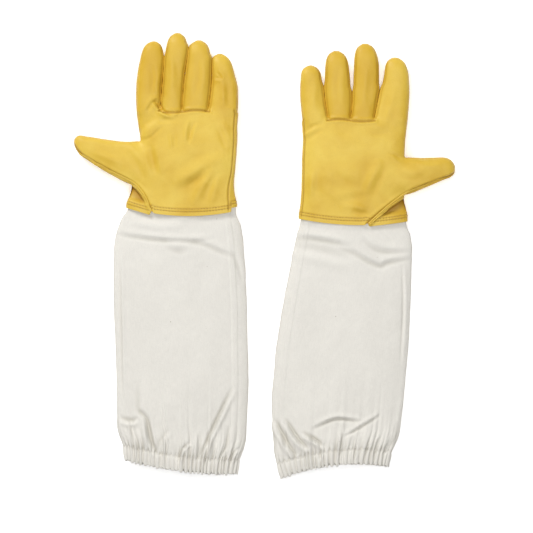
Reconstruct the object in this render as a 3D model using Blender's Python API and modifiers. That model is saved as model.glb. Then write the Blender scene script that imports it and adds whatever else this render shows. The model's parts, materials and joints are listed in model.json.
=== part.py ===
"""A pair of beekeeping gloves: leather hands on cotton canvas gauntlets, lying flat with the palms up.

Every glove is a set of soft tubes (gauntlet, hand, fingers, thumb). A tube is given by its edge points at a
few sections, and the sewn panels are strips of its wall. Lengths in this file are in millimetres; mesh
coordinates are written in metres. +Y points along the fingers and +Z up, and z = 0 is the table.
"""
import math

import bpy
import numpy as np

MM = 0.001

LEATHER = 1.1        # leather thickness
CANVAS = 0.9         # canvas thickness
SEAM_GAP = 0.6       # gap between two panels at a seam
SLANTED_GAP = 1.1    # the same, measured across the hand, where the seam runs aslant
RIM = 0.8            # first strip of a panel beside a seam
FOURCHETTE = 6.0     # half width of the strip between two fingers
FOURCHETTE_SHARE = 0.36   # the most it may be, as a share of the finger's height
SQUARE_RADIUS = 0.05      # corner radius where another tube joins on
SQUARE_GAP = 0.4          # gap between a panel's edge and that tube
TANGENT_STEP = 0.2        # distance used to measure the direction of an outline
WELT_RADIUS = 0.9
THREAD_RADIUS = 0.3
THREAD_POINTS = 60   # points around one ring of stitching
CLEAR = 0.4          # gap between a thread or welt and the leather under it
ELASTIC = 1.0        # elastic band thickness
CASING_SLOT = 1.8    # room for the band inside the turned hem
TURNED_SHARE = 0.94             # how far the turned-in layer reaches up to the casing stitch
BAND_SHARES = (0.14, 0.5, 0.84) # places of the elastic between the hem and the casing stitch
CUFF_STITCHES = (("cuff_stitch_lower", 0.42), ("cuff_stitch_upper", 0.72))   # name, place on the cuff
TIP_SIZE = 0.18      # width of the last section of a fingertip, as a share of the full width
TIP_HEIGHT = 1.6     # height of that last section
TIP_STEPS = (0.35, 0.62, 0.82, 0.95, 1.0)
TAPERED = 2          # the fourchettes end after this many of the tip steps
CORNER_STEPS = 8
PALM_COLUMNS = 24
BACK_COLUMNS = 40
GAUNTLET_COLUMNS = 40
FINGER_COLUMNS = 5
STRIP_COLUMNS = 4

COLOURS = {
    "leather": ((0.79, 0.55, 0.10), 0.55),
    "leather_back": ((0.72, 0.49, 0.09), 0.58),
    "welt": ((0.62, 0.40, 0.06), 0.55),
    "canvas": ((0.80, 0.78, 0.71), 0.9),
    "elastic": ((0.85, 0.85, 0.83), 0.8),
    "thread": ((0.70, 0.46, 0.08), 0.6),
    "white_thread": ((0.82, 0.80, 0.74), 0.7),
}


class Section:
    """One cross-section of a soft tube: a rounded box between two edge points, in an upright plane."""

    def __init__(self, left, right, height, floor=0.0, bow=0.0, square=None):
        self.left = np.array(left, float)
        self.right = np.array(right, float)
        self.height = height
        self.floor = floor
        self.bow = bow          # how far the middle runs ahead of the edges
        self.square = square    # "left" or "right" edge left square, where another tube joins on

    def mixed(self, other, share):
        """The section part of the way to another one."""
        def mix(a, b):
            return a + (b - a) * share
        return Section(mix(self.left, other.left), mix(self.right, other.right),
                       mix(self.height, other.height), mix(self.floor, other.floor),
                       mix(self.bow, other.bow), self.square)

    def outline(self):
        """Points (across, up) around the section, from the middle of the right side, over the top."""
        half_width = np.linalg.norm(self.right - self.left) / 2
        half_height = self.height / 2
        round_radius = min(half_height * 0.96, half_width * 0.8)
        corners = ((1, 1, 0, "right"), (-1, 1, 90, "left"), (-1, -1, 180, "left"), (1, -1, 270, "right"))
        points = [(half_width, 0.0)]
        for side, top, start, edge in corners:
            radius = SQUARE_RADIUS if self.square == edge else round_radius
            centre = (side * (half_width - radius), top * (half_height - radius))
            for step in range(CORNER_STEPS + 1):
                angle = math.radians(start + 90 * step / CORNER_STEPS)
                points.append((centre[0] + radius * math.cos(angle), centre[1] + radius * math.sin(angle)))
        points.append((half_width, 0.0))
        return np.array(points)

    def around(self, distances, lift=0.0):
        """3-D points at the given distances around the section; lift moves them off the surface."""
        outline = self.outline()
        steps = np.linalg.norm(np.diff(outline, axis=0), axis=1)
        lengths = np.concatenate(([0.0], np.cumsum(steps)))
        total = lengths[-1]

        def at(place):
            place = np.mod(place, total)
            return np.stack([np.interp(place, lengths, outline[:, 0]),
                             np.interp(place, lengths, outline[:, 1])], axis=1)
        distances = np.asarray(distances, float)
        flat = at(distances)
        tangent = at(distances + TANGENT_STEP) - at(distances - TANGENT_STEP)
        tangent /= np.linalg.norm(tangent, axis=1)[:, None]
        flat = flat + lift * np.stack([tangent[:, 1], -tangent[:, 0]], axis=1)
        middle = (self.left + self.right) / 2
        half_width = np.linalg.norm(self.right - self.left) / 2
        across = (self.right - self.left) / (2 * half_width)
        ahead = np.array([-across[1], across[0]])
        share = np.clip(flat[:, 0] / half_width, -1, 1)
        plan = middle + flat[:, :1] * across + (self.bow * (1 - share ** 2))[:, None] * ahead
        return np.column_stack([plan, self.floor + self.height / 2 + flat[:, 1]])

    def girth(self):
        return np.linalg.norm(np.diff(self.outline(), axis=0), axis=1).sum()


def finger_sections(body, tip):
    """The body sections of a finger or thumb, and the sections that close its tip."""
    last = body[-1]
    middle = (last.left + last.right) / 2
    half = (last.right - last.left) / 2
    tip = np.array(tip, float)
    closing = []
    for step in TIP_STEPS:
        width = max(math.sqrt(1 - step ** 2), TIP_SIZE)
        height = max(last.height * math.sqrt(1 - step ** 2), TIP_HEIGHT)
        centre = middle + (tip - middle) * step
        closing.append(Section(centre - half * width, centre + half * width, height,
                               last.floor + (last.height - height) / 2))
    return list(body) + closing


def columns(start, end, count):
    """Places from start to end, with a narrow strip beside each end."""
    inner = np.linspace(start + RIM, end - RIM, count - 1)
    return np.concatenate(([start], inner, [end]))


def sheet_faces(rows, row_size, closed):
    """Quads of a grid of points, wound so that the outside of the tube faces out."""
    faces = []
    across = row_size if closed else row_size - 1
    for row in range(rows - 1):
        for column in range(across):
            after = (column + 1) % row_size
            faces.append((row * row_size + column, (row + 1) * row_size + column,
                          (row + 1) * row_size + after, row * row_size + after))
    return faces


class Glove:
    """Builds the nodes of one glove, each parented to the empty on its body's joint axis."""

    def __init__(self, side, collection, materials):
        self.side = side
        self.collection = collection
        self.materials = materials
        self.bodies = {}

    def body(self, name, location):
        empty = bpy.data.objects.new(f"{self.side}_{name}_axis", None)
        empty.location = [value * MM for value in location]
        self.collection.objects.link(empty)
        self.bodies[name] = empty

    def add(self, name, body, data, material):
        node = bpy.data.objects.new(f"{self.side}_{name}", data)
        node.parent = self.bodies[body]
        data.materials.append(self.materials[material])
        self.collection.objects.link(node)
        return node

    def mesh(self, name, body, points, faces, material):
        """A node from world points in millimetres."""
        origin = np.array(self.bodies[body].location)
        data = bpy.data.meshes.new(f"{self.side}_{name}")
        data.from_pydata((np.asarray(points) * MM - origin).tolist(), [], faces)
        data.polygons.foreach_set("use_smooth", [True] * len(data.polygons))
        return self.add(name, body, data, material)

    def sheet(self, name, body, rows, thickness, material, closed=False):
        """An open sheet given by rows of points on its outer face, with Solidify for the thickness."""
        points = np.concatenate(rows)
        node = self.mesh(name, body, points, sheet_faces(len(rows), len(rows[0]), closed), material)
        solidify = node.modifiers.new("thickness", "SOLIDIFY")
        solidify.thickness = thickness * MM
        solidify.offset = -1.0
        solidify.use_even_offset = closed
        return node

    def line(self, name, body, points, radius, material, closed=False):
        """A thread or welt: a round line through the given points."""
        origin = np.array(self.bodies[body].location)
        data = bpy.data.curves.new(f"{self.side}_{name}", "CURVE")
        data.dimensions = "3D"
        data.bevel_depth = radius * MM
        data.bevel_resolution = 1
        data.use_fill_caps = True
        spline = data.splines.new("POLY")
        spline.points.add(len(points) - 1)
        for point, place in zip(spline.points, points):
            point.co = (*(np.array(place) * MM - origin), 1.0)
        spline.use_cyclic_u = closed
        return self.add(name, body, data, material)

    def finger(self, name, sections, seams):
        """The sewn panels of a finger. seams gives, for each edge, the side strip or the single seam."""
        open_edges = {edge: place for edge, place in seams.items() if place is not None}
        front, back = [], []
        strips = {edge: [] for edge in ("right", "left") if edge not in open_edges}
        for index, section in enumerate(sections):
            beyond = max(0, index - (len(sections) - len(TIP_STEPS)) + 1)
            taper = max(0.0, 1 - beyond / (TAPERED + 1))
            half_girth = section.girth() / 2
            reach = {}
            for edge in ("right", "left"):
                if edge in open_edges:
                    reach[edge] = (open_edges[edge] * taper,) * 2
                else:
                    strip = min(FOURCHETTE, section.height * FOURCHETTE_SHARE) * (0.25 + 0.75 * taper)
                    reach[edge] = (strip, -strip) if beyond <= TAPERED else (0.0, 0.0)
            half_gap = min(SEAM_GAP / 2, half_girth * 0.1)
            front.append(section.around(columns(reach["right"][0] + half_gap,
                                                half_girth - reach["left"][0] - half_gap,
                                                FINGER_COLUMNS)))
            back.append(section.around(columns(half_girth - reach["left"][1] + half_gap,
                                               2 * half_girth + reach["right"][1] - half_gap,
                                               FINGER_COLUMNS)))
            for edge, rows in strips.items():
                if beyond <= TAPERED:
                    strip = reach[edge][0] - half_gap
                    middle = 0.0 if edge == "right" else half_girth
                    rows.append(section.around(middle + np.linspace(-strip, strip, STRIP_COLUMNS)))
        self.sheet(f"{name}_front", name, front, LEATHER, "leather")
        self.sheet(f"{name}_back", name, back, LEATHER, "leather_back")
        return strips

    def fourchettes(self, name, strips, neighbours):
        for edge, rows in strips.items():
            self.sheet(f"{name}_fourchette_{neighbours[edge]}_side", name, rows, LEATHER, "leather")

    def hand(self, sections, palm_ends):
        """Palm and back. palm_ends gives the palm's seams as (right, left) distances above each edge."""
        palm, back = [], []
        for section, (right, left) in zip(sections, palm_ends):
            half_girth = section.girth() / 2
            gaps = {"right": SLANTED_GAP / 2, "left": SLANTED_GAP / 2}
            if section.square:
                gaps[section.square] = section.height / 2 + SQUARE_GAP
            palm.append(section.around(columns(right + gaps["right"],
                                               half_girth - left - gaps["left"], PALM_COLUMNS)))
            back.append(section.around(columns(half_girth - left + gaps["left"],
                                               2 * half_girth + right - gaps["right"], BACK_COLUMNS)))
        self.sheet("palm", "hand", palm, LEATHER, "leather")
        self.sheet("back", "hand", back, LEATHER, "leather_back")

    def gauntlet(self, lower, upper):
        """The canvas tube below the wrist fold with its turned hem and elastic, and the part above it."""
        def ring(section, inset=0.0):
            places = np.linspace(0, section.girth(), GAUNTLET_COLUMNS, endpoint=False)
            return section.around(places, -inset)
        hem, line = lower[0], lower[1]
        turned = CANVAS * 2 + CASING_SLOT
        inner_top = ring(hem.mixed(line, TURNED_SHARE), turned)
        inner_bottom = ring(hem, turned)
        outer = [ring(section) for section in lower]
        self.sheet("gauntlet", "sleeve", [inner_top, inner_bottom] + outer, CANVAS, "canvas", closed=True)
        self.sheet("gauntlet_top", "hand", [ring(section) for section in upper], CANVAS, "canvas",
                   closed=True)
        band_inset = CANVAS + (CASING_SLOT - ELASTIC) / 2
        band = [ring(hem.mixed(line, share), band_inset) for share in BAND_SHARES]
        self.sheet("elastic_band", "sleeve", band, ELASTIC, "elastic", closed=True)
        self.thread_ring("casing_stitch", "sleeve", line, "white_thread")

    def thread_ring(self, name, body, section, material):
        places = np.linspace(0, section.girth(), THREAD_POINTS, endpoint=False)
        points = section.around(places, THREAD_RADIUS + CLEAR)
        self.line(name, body, points, THREAD_RADIUS, material, closed=True)


def make_materials():
    materials = {}
    for name, (colour, roughness) in COLOURS.items():
        material = bpy.data.materials.new(f"glove_{name}")
        material.use_nodes = True
        shader = material.node_tree.nodes["Principled BSDF"]
        shader.inputs["Base Color"].default_value = (*colour, 1.0)
        shader.inputs["Roughness"].default_value = roughness
        shader.inputs["Metallic"].default_value = 0.0
        material.diffuse_color = (*colour, 1.0)
        materials[name] = material
    return materials


def upright(y, left, right, height, **options):
    """A section across the glove at one y."""
    return Section((left, y), (right, y), height, **options)


FINGER_HEIGHTS = (20.5, 19.5, 18.5, 17.5)
THUMB_HEIGHTS = (22.0, 20.5, 19.0, 17.5)


def finger_body(stations, heights=FINGER_HEIGHTS):
    return [upright(y, left, right, height) for (y, left, right), height in zip(stations, heights)]


LEFT = {
    "knuckles": 160.0,
    "wrist": 18.0,
    "wrist_top": 18.0,
    "fingers": {
        "index": ([(160.4, -143.2, -117.3), (184, -143.8, -115.4), (204, -142.6, -113.4),
                   (222, -138.4, -112.8)], (-124.0, 239.7)),
        "middle": ([(160.4, -116.3, -93.0), (190, -114.3, -91.3), (212, -112.4, -88.9),
                    (231, -110.6, -85.9)], (-97.2, 249.0)),
        "ring": ([(160.4, -92.0, -63.8), (190, -90.2, -59.9), (208, -87.8, -59.3),
                  (225, -84.6, -60.0)], (-73.4, 241.0)),
        "little": ([(160.4, -62.8, -29.3), (175, -60.6, -28.1), (190, -58.8, -28.3),
                    (206, -58.2, -33.0)], (-49.8, 226.0)),
    },
    "seams": {"index": ("left", -2.0), "little": ("right", 6.0)},
    "thumb": ([((-149.2, 78.6), (-139.5, 128.6)), ((-166.0, 87.2), (-154.0, 127.6)),
               ((-182.5, 96.8), (-177.5, 130.2)), ((-199.0, 107.6), (-199.8, 133.6))], (-213.0, 127.1)),
    "thumb_turn": "left",
    "hand": [
        ((-156.2, 54.6), (-28.3, 50.8), 19.0, 1.2, -8.2, None, (15.0, 33.0)),
        ((-153.2, 63.0), (-31.8, 62.0), 19.5, 1.2, -4.5, None, (12.0, 26.0)),
        ((-150.0, 72.0), (-33.6, 72.0), 20.5, 0.6, -2.0, None, (10.0, 14.0)),
        ((-148.2, 78.4), (-34.2, 78.4), 21.5, 0.0, 0.0, None, (9.0, 0.0)),
        ((-147.4, 82.5), (-34.3, 82.5), 22.0, 0.0, 0.0, "left", (9.0, 0.0)),
        ((-143.2, 104.0), (-31.8, 104.0), 23.5, 0.0, 0.0, "left", (9.0, 0.0)),
        ((-139.4, 124.5), (-30.4, 124.5), 23.0, 0.0, 0.0, "left", (8.0, 0.0)),
        ((-138.6, 128.8), (-30.2, 128.8), 22.8, 0.0, 0.0, None, (8.0, 0.0)),
        ((-141.2, 145.0), (-30.2, 145.0), 22.0, 0.0, 0.0, None, (7.0, -2.0)),
        ((-143.2, 159.6), (-29.3, 159.6), 21.0, 0.0, 0.0, None, (6.0, -2.0)),
    ],
    "gauntlet": [
        Section((-155.9, -227.9), (-30.5, -243.4), 15.0, 1.2, -5.0),
        Section((-156.4, -211.5), (-28.7, -227.0), 15.0, 1.2, -4.0),
        Section((-164.6, -190.0), (-20.6, -203.0), 18.0, 0.0, -2.0),
        Section((-165.4, -142.0), (-18.5, -150.0), 19.0),
        Section((-168.0, -60.0), (-18.8, -60.0), 19.0),
        Section((-167.6, 17.6), (-23.5, 17.6), 18.0),
    ],
    "gauntlet_top": [
        Section((-167.3, 18.4), (-23.7, 18.4), 18.0),
        Section((-160.6, 41.0), (-27.2, 37.0), 17.6, 0.0, -7.0),
        Section((-153.6, 51.0), (-31.0, 47.2), 14.2, 3.4, -8.2),
        Section((-152.2, 61.0), (-33.4, 58.0), 14.2, 3.4, -5.0),
    ],
}

RIGHT = {
    "knuckles": 150.0,
    "wrist": 8.0,
    "wrist_top": 18.0,
    "fingers": {
        "little": ([(150.4, 41.4, 70.4), (173, 38.8, 66.5), (188, 38.5, 65.2), (201, 39.3, 63.6)],
                   (51.4, 212.7)),
        "ring": ([(150.4, 73.2, 94.4), (169, 69.0, 97.6), (188, 67.2, 96.8), (210, 67.6, 95.0)],
                 (80.4, 229.0)),
        "middle": ([(150.4, 96.7, 120.6), (169, 99.0, 124.6), (190, 98.6, 128.6), (216, 100.0, 128.4)],
                   (112.4, 237.0)),
        "index": ([(150.4, 123.2, 159.7), (170, 126.4, 161.7), (187, 130.2, 162.4),
                   (203, 133.8, 161.4)], (145.9, 221.5)),
    },
    "seams": {"index": ("right", -2.0), "little": ("left", 6.0)},
    "thumb": ([((157.4, 110.2), (157.2, 66.8)), ((174.5, 109.2), (176.0, 74.4)),
               ((190.0, 109.6), (192.5, 81.4)), ((200.0, 110.2), (203.2, 86.6))], (213.0, 99.3)),
    "thumb_turn": "right",
    "hand": [
        ((37.4, 41.6), (161.6, 38.8), 19.0, 1.2, -5.8, None, (38.0, 15.0)),
        ((39.4, 51.0), (158.8, 50.0), 19.5, 1.2, -3.5, None, (28.0, 12.0)),
        ((40.4, 60.0), (157.0, 60.0), 20.5, 0.6, -1.5, None, (14.0, 10.0)),
        ((40.8, 66.6), (156.4, 66.6), 21.5, 0.0, 0.0, None, (0.0, 9.0)),
        ((40.9, 70.6), (156.4, 70.6), 22.0, 0.0, 0.0, "right", (0.0, 9.0)),
        ((41.4, 88.0), (156.5, 88.0), 23.5, 0.0, 0.0, "right", (0.0, 9.0)),
        ((41.7, 106.0), (156.6, 106.0), 23.0, 0.0, 0.0, "right", (0.0, 8.0)),
        ((41.9, 110.4), (156.6, 110.4), 22.8, 0.0, 0.0, None, (0.0, 8.0)),
        ((42.9, 130.0), (157.6, 130.0), 22.0, 0.0, 0.0, None, (-2.0, 7.0)),
        ((41.4, 149.6), (159.7, 149.6), 21.0, 0.0, 0.0, None, (-2.0, 6.0)),
    ],
    "gauntlet": [
        Section((18.5, -249.0), (138.2, -235.0), 15.0, 1.2, 8.0),
        Section((14.4, -233.9), (142.2, -218.5), 15.0, 1.2, 7.0),
        Section((9.7, -205.0), (151.8, -196.1), 18.0, 0.0, 3.0),
        Section((7.3, -163.2), (156.2, -160.0), 19.0),
        Section((13.1, -104.5), (160.6, -104.5), 19.0),
        Section((23.4, -40.4), (163.6, -40.4), 19.0),
        Section((32.6, 7.6), (164.9, 7.6), 18.0),
    ],
    "gauntlet_top": [
        Section((32.8, 8.4), (164.9, 8.4), 18.0),
        Section((37.0, 28.0), (162.6, 25.4), 17.6, 0.0, -5.5),
        Section((40.0, 38.0), (159.0, 35.2), 14.2, 3.4, -5.8),
        Section((41.4, 48.0), (157.0, 46.0), 14.2, 3.4, -4.0),
    ],
}

THUMB_AXIS_HEIGHT = 23.5
KNUCKLE_AXIS_HEIGHT = 21.0
NEIGHBOURS = {"index": ("middle",), "middle": ("index", "ring"), "ring": ("middle", "little"),
              "little": ("ring",)}


def build_glove(side, shape, collection, materials):
    glove = Glove(side, collection, materials)
    hand = [Section(left, right, height, floor, bow, square)
            for left, right, height, floor, bow, square, _ in shape["hand"]]
    gauntlet = shape["gauntlet"]
    wrist_middle = (gauntlet[-1].left[0] + gauntlet[-1].right[0]) / 2
    thumb_root = (np.array(shape["thumb"][0][0][0]) + np.array(shape["thumb"][0][0][1])) / 2
    glove.body("sleeve", (wrist_middle, 0.0, 0.0))
    glove.body("hand", (wrist_middle, shape["wrist"], shape["wrist_top"]))
    glove.body("thumb", (*thumb_root, THUMB_AXIS_HEIGHT))

    glove.hand(hand, [row[6] for row in shape["hand"]])
    for name, (stations, tip) in shape["fingers"].items():
        middle = (stations[0][1] + stations[0][2]) / 2
        glove.body(name, (middle, shape["knuckles"], KNUCKLE_AXIS_HEIGHT))
        outer_edge, outer_seam = shape["seams"].get(name, (None, None))
        seams = {edge: outer_seam if edge == outer_edge else None for edge in ("right", "left")}
        strips = glove.finger(name, finger_sections(finger_body(stations), tip), seams)
        towards = NEIGHBOURS[name]
        if len(towards) == 1:
            names = {edge: towards[0] for edge in strips}
        elif side == "left":
            names = {"left": towards[0], "right": towards[1]}
        else:
            names = {"left": towards[1], "right": towards[0]}
        glove.fourchettes(name, strips, names)

    stations, tip = shape["thumb"]
    thumb_body = [Section(left, right, height) for (left, right), height in zip(stations, THUMB_HEIGHTS)]
    thumb_body[0].square = "left"
    thumb = finger_sections(thumb_body, tip)
    glove.finger("thumb", thumb, {"right": 0.0, "left": 0.0})
    lower_edge = shape["thumb_turn"]
    places = [0.0 if lower_edge == "right" else section.girth() / 2 for section in thumb]
    welt = [section.around([place], WELT_RADIUS + 2 * CLEAR)[0] for section, place in zip(thumb, places)]
    glove.line("thumb_welt", "thumb", welt[:-3], WELT_RADIUS, "welt")

    glove.gauntlet(gauntlet, shape["gauntlet_top"])
    for name, share in CUFF_STITCHES:
        glove.thread_ring(name, "hand", hand[0].mixed(hand[1], share), "thread")


def clear_scene():
    for node in list(bpy.data.objects):
        bpy.data.objects.remove(node, do_unlink=True)


def main():
    clear_scene()
    collection = bpy.data.collections.new("beekeeping_gloves")
    bpy.context.scene.collection.children.link(collection)
    materials = make_materials()
    build_glove("left", LEFT, collection, materials)
    build_glove("right", RIGHT, collection, materials)


main()
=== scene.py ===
"""The looks of a pair of beekeeping gloves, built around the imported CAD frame.

The leather hands are lofted from slices of the CAD solids, fused, smoothed and sculpted along their seams.
The canvas gauntlets are woven sheets with folds, a gathered elastic hem and a felled seam. Lengths are in
metres, except in the fold tables.
"""
import math

import bmesh
import bpy
import numpy as np
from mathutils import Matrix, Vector, noise
from mathutils.bvhtree import BVHTree
from mathutils.kdtree import KDTree
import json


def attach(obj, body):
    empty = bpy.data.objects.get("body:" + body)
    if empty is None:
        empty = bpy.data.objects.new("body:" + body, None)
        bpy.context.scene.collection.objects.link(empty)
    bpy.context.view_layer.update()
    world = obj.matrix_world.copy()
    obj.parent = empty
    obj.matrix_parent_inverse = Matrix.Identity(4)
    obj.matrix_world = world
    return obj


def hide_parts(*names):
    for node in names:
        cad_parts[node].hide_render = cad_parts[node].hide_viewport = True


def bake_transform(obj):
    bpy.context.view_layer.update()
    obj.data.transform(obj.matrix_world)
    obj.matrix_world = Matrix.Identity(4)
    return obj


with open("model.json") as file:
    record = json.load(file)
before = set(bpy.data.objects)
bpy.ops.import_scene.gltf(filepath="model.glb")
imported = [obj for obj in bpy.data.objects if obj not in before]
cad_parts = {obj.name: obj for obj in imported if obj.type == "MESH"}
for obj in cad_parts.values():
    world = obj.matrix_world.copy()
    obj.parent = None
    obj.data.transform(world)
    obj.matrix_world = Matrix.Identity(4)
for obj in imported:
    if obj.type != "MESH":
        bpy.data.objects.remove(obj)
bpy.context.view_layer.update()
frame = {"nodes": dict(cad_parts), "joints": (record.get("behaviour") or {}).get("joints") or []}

MM = 0.001
SIDES = ("left", "right")
FINGERS = ("index", "middle", "ring", "little")
NEIGHBOURS = {"index": ("middle",), "middle": ("index", "ring"), "ring": ("middle", "little"),
              "little": ("ring",)}
UP = np.array([0.0, 0.0, 1.0])

VOXEL = 1.0 * MM     # leather mesh size
TRIM = 1.1 * MM                          # kept off fingers that touch, so that they don't fuse; put back
TIP_POWER = 2.1                          # squareness of the arc at a fingertip
TIP_LENGTH = 13 * MM                     # length of that arc
TIP_CAP = {"finger": 0.6 * MM, "thumb": 0.9 * MM}    # how far the last rings stand out beyond it
CAP_STEPS = (0.45, 0.8, 0.97)
NOSE_LENGTH = 4.5 * MM                   # rounded end of the palm, under the fingers
NOSE_STEPS = (0.35, 0.65, 0.85, 0.97)
CONTACT = 0.18 * MM                      # how far neighbouring fingers are pressed into each other
WIDEST_PRESS = 2.4 * MM                  # the most that a finger is widened on one side for it
# y up to which each finger lies against the next one, by the finger nearer to the thumb.
CLOSED_TO = {"left": {"index": 0.225, "middle": 0.236, "ring": 0.2235},
             "right": {"index": 0.1905, "middle": 0.187, "ring": 0.193}}
BOXY_REACH = 18 * MM                     # length over which a section turns from boxy to round
LEATHER = 1.2 * MM
THREAD = 0.32 * MM
THREAD_PITCH = 0.60 * MM                 # of the canvas weave
HEM_DROP = {"left": 3.0 * MM, "right": 2.0 * MM}   # how far the back hangs below the palm at the notch
NOTCH_SHARE = {"left": 0.2346, "right": 0.6230}    # place of the hem's notch, from the low-x end
NOTCH_HEIGHT, NOTCH_WIDTH = 2.0 * MM, 1.8 * MM
HEM_STEP = 4.6 * MM                      # at the side seam of the left glove
HEM_STEP_INSET = 9.4 * MM                # of that step from the end of the hem
CUFF_ROWS = {"lower": 4.8 * MM, "upper": 7.8 * MM}   # height of the stitching above the hem
CUFF_OVERLAP = 9 * MM                    # how far the canvas reaches up inside the leather
THUMB_SEAM_BOW = {"left": 6.0 * MM, "right": 2.0 * MM}
TRIANGLE_DEPTH = 5.6 * MM                # of the back leather below the thumb seam
FOLD_STRENGTH = {"left": 1.6, "right": 1.1}        # of the leather's folds
FINGER_TONE = {"left": (1.25, 0.85, 0.8, 0.45), "right": (0.3, 1.0, 0.95, 0.3)}   # in the order of FINGERS
WELT_BEADS = ((1.35, 1.0), (2.85, 0.75)) # distance from the seam and radius, in mm
WELT_LIFT = 0.30 * MM
WELT_START = 11                          # points of the seam left free at the thumb's tip
STITCH_ARC = np.array([-0.8, 0.25, 0.6, 0.6, 0.25, -0.8])   # height of a stitch, in thread radii
ELASTIC_RISE = (2.5 * MM, 13.0 * MM)     # where the elastic lies above the hem
ELASTIC_FACES = (0.8 * MM, 1.5 * MM)     # depth of its two faces under the canvas surface
CAMERA_HEIGHT = 6.0
VIEW_WIDTH = 0.597                       # width of the picture at the floor
VIEW_CENTRE = (0.0022, -0.0119)
SENSOR = 36.0

# Folds on the upper side, as (corners in mm, depth in mm, width in mm); see fold_height.
LEATHER_FOLDS = {
    "left": [
        ([(-100, 157), (-110, 160), (-118, 167), (-123, 174)], 1.2, 2.0),
        ([(-131, 160), (-128, 166), (-122, 172.5), (-115, 168)], 0.6, 2.0),
        ([(-118, 150), (-108, 152), (-96, 152)], 0.5, 3.0),
        ([(-139, 130), (-130, 140), (-118, 150)], -0.7, 4.0),
        ([(-138, 129), (-126, 133), (-112, 146)], 0.35, 1.6),
        ([(-84, 152), (-87, 142), (-89, 128)], -0.55, 2.4),
        ([(-77, 150), (-82, 138), (-85, 124)], 0.4, 1.8),
        ([(-106, 136), (-104, 126), (-104, 120)], -0.45, 2.0),
        ([(-97, 86), (-82, 92), (-66, 102), (-44, 110)], -0.6, 6.0),
        ([(-98, 72), (-78, 82), (-62, 92)], 0.7, 5.0),
        ([(-80, 56), (-70, 78), (-54, 98)], -0.8, 5.0),
        ([(-128, 124), (-124, 108), (-120, 90)], 0.55, 3.2),
        ([(-134, 118), (-131, 104), (-127, 92)], -0.45, 2.6),
        ([(-60, 56), (-55, 74), (-50, 92)], -0.6, 4.0),
        ([(-55, 146), (-48, 134), (-44, 120)], 0.6, 3.5),
        ([(-54, 206), (-49, 199), (-57, 199)], 0.5, 1.6),
        ([(-47, 196), (-46, 180), (-46, 166)], -0.6, 3.0),
        ([(-128, 214), (-125, 196), (-127, 178)], 0.6, 3.5),
        ([(-118, 205), (-121, 190), (-118, 176)], -0.5, 3.0),
        ([(-104, 225), (-103, 204), (-104, 180)], -0.45, 3.2),
        ([(-75, 222), (-74, 200), (-78, 178)], 0.5, 3.6),
        ([(-190, 116), (-176, 110), (-160, 104)], -0.6, 4.0),
        ([(-170, 122), (-154, 116), (-142, 100), (-134, 84)], 0.5, 4.0),
    ],
    "right": [
        ([(44, 128), (54, 134), (66, 142)], 0.6, 2.4),
        ([(42, 133), (52, 139), (58, 144)], -0.4, 1.8),
        ([(46, 140), (56, 145), (68, 148)], 0.4, 2.0),
        ([(120, 66), (127, 82), (138, 104)], 0.7, 4.0),
        ([(114, 70), (120, 88), (130, 108)], -0.7, 5.0),
        ([(97, 50), (108, 47), (116, 47)], 0.9, 3.0),
        ([(84, 54), (98, 56), (112, 55)], -0.8, 4.5),
        ([(47, 92), (46, 74), (45, 58)], 0.6, 3.0),
        ([(56, 100), (53, 84), (52, 66)], -0.6, 3.6),
        ([(142, 112), (147, 107), (152, 104)], -0.45, 1.8),
        ([(138, 116), (146, 112), (154, 108)], 0.4, 1.6),
        ([(72, 138), (88, 128), (106, 130)], -0.6, 6.0),
        ([(76, 96), (90, 84), (104, 80)], 0.7, 6.0),
        ([(64, 76), (82, 66), (100, 68)], -0.7, 6.0),
        ([(112, 142), (124, 136), (140, 138)], 0.6, 4.0),
        ([(136, 150), (142, 172), (146, 190)], -0.6, 3.6),
        ([(58, 196), (55, 178), (56, 160)], -0.5, 3.4),
        ([(84, 212), (80, 192), (82, 168)], 0.5, 3.2),
        ([(115, 214), (112, 190), (110, 166)], -0.5, 3.2),
        ([(170, 104), (184, 100), (198, 102)], -0.6, 4.0),
        ([(150, 92), (164, 86), (182, 88)], 0.6, 4.0),
    ],
}
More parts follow.
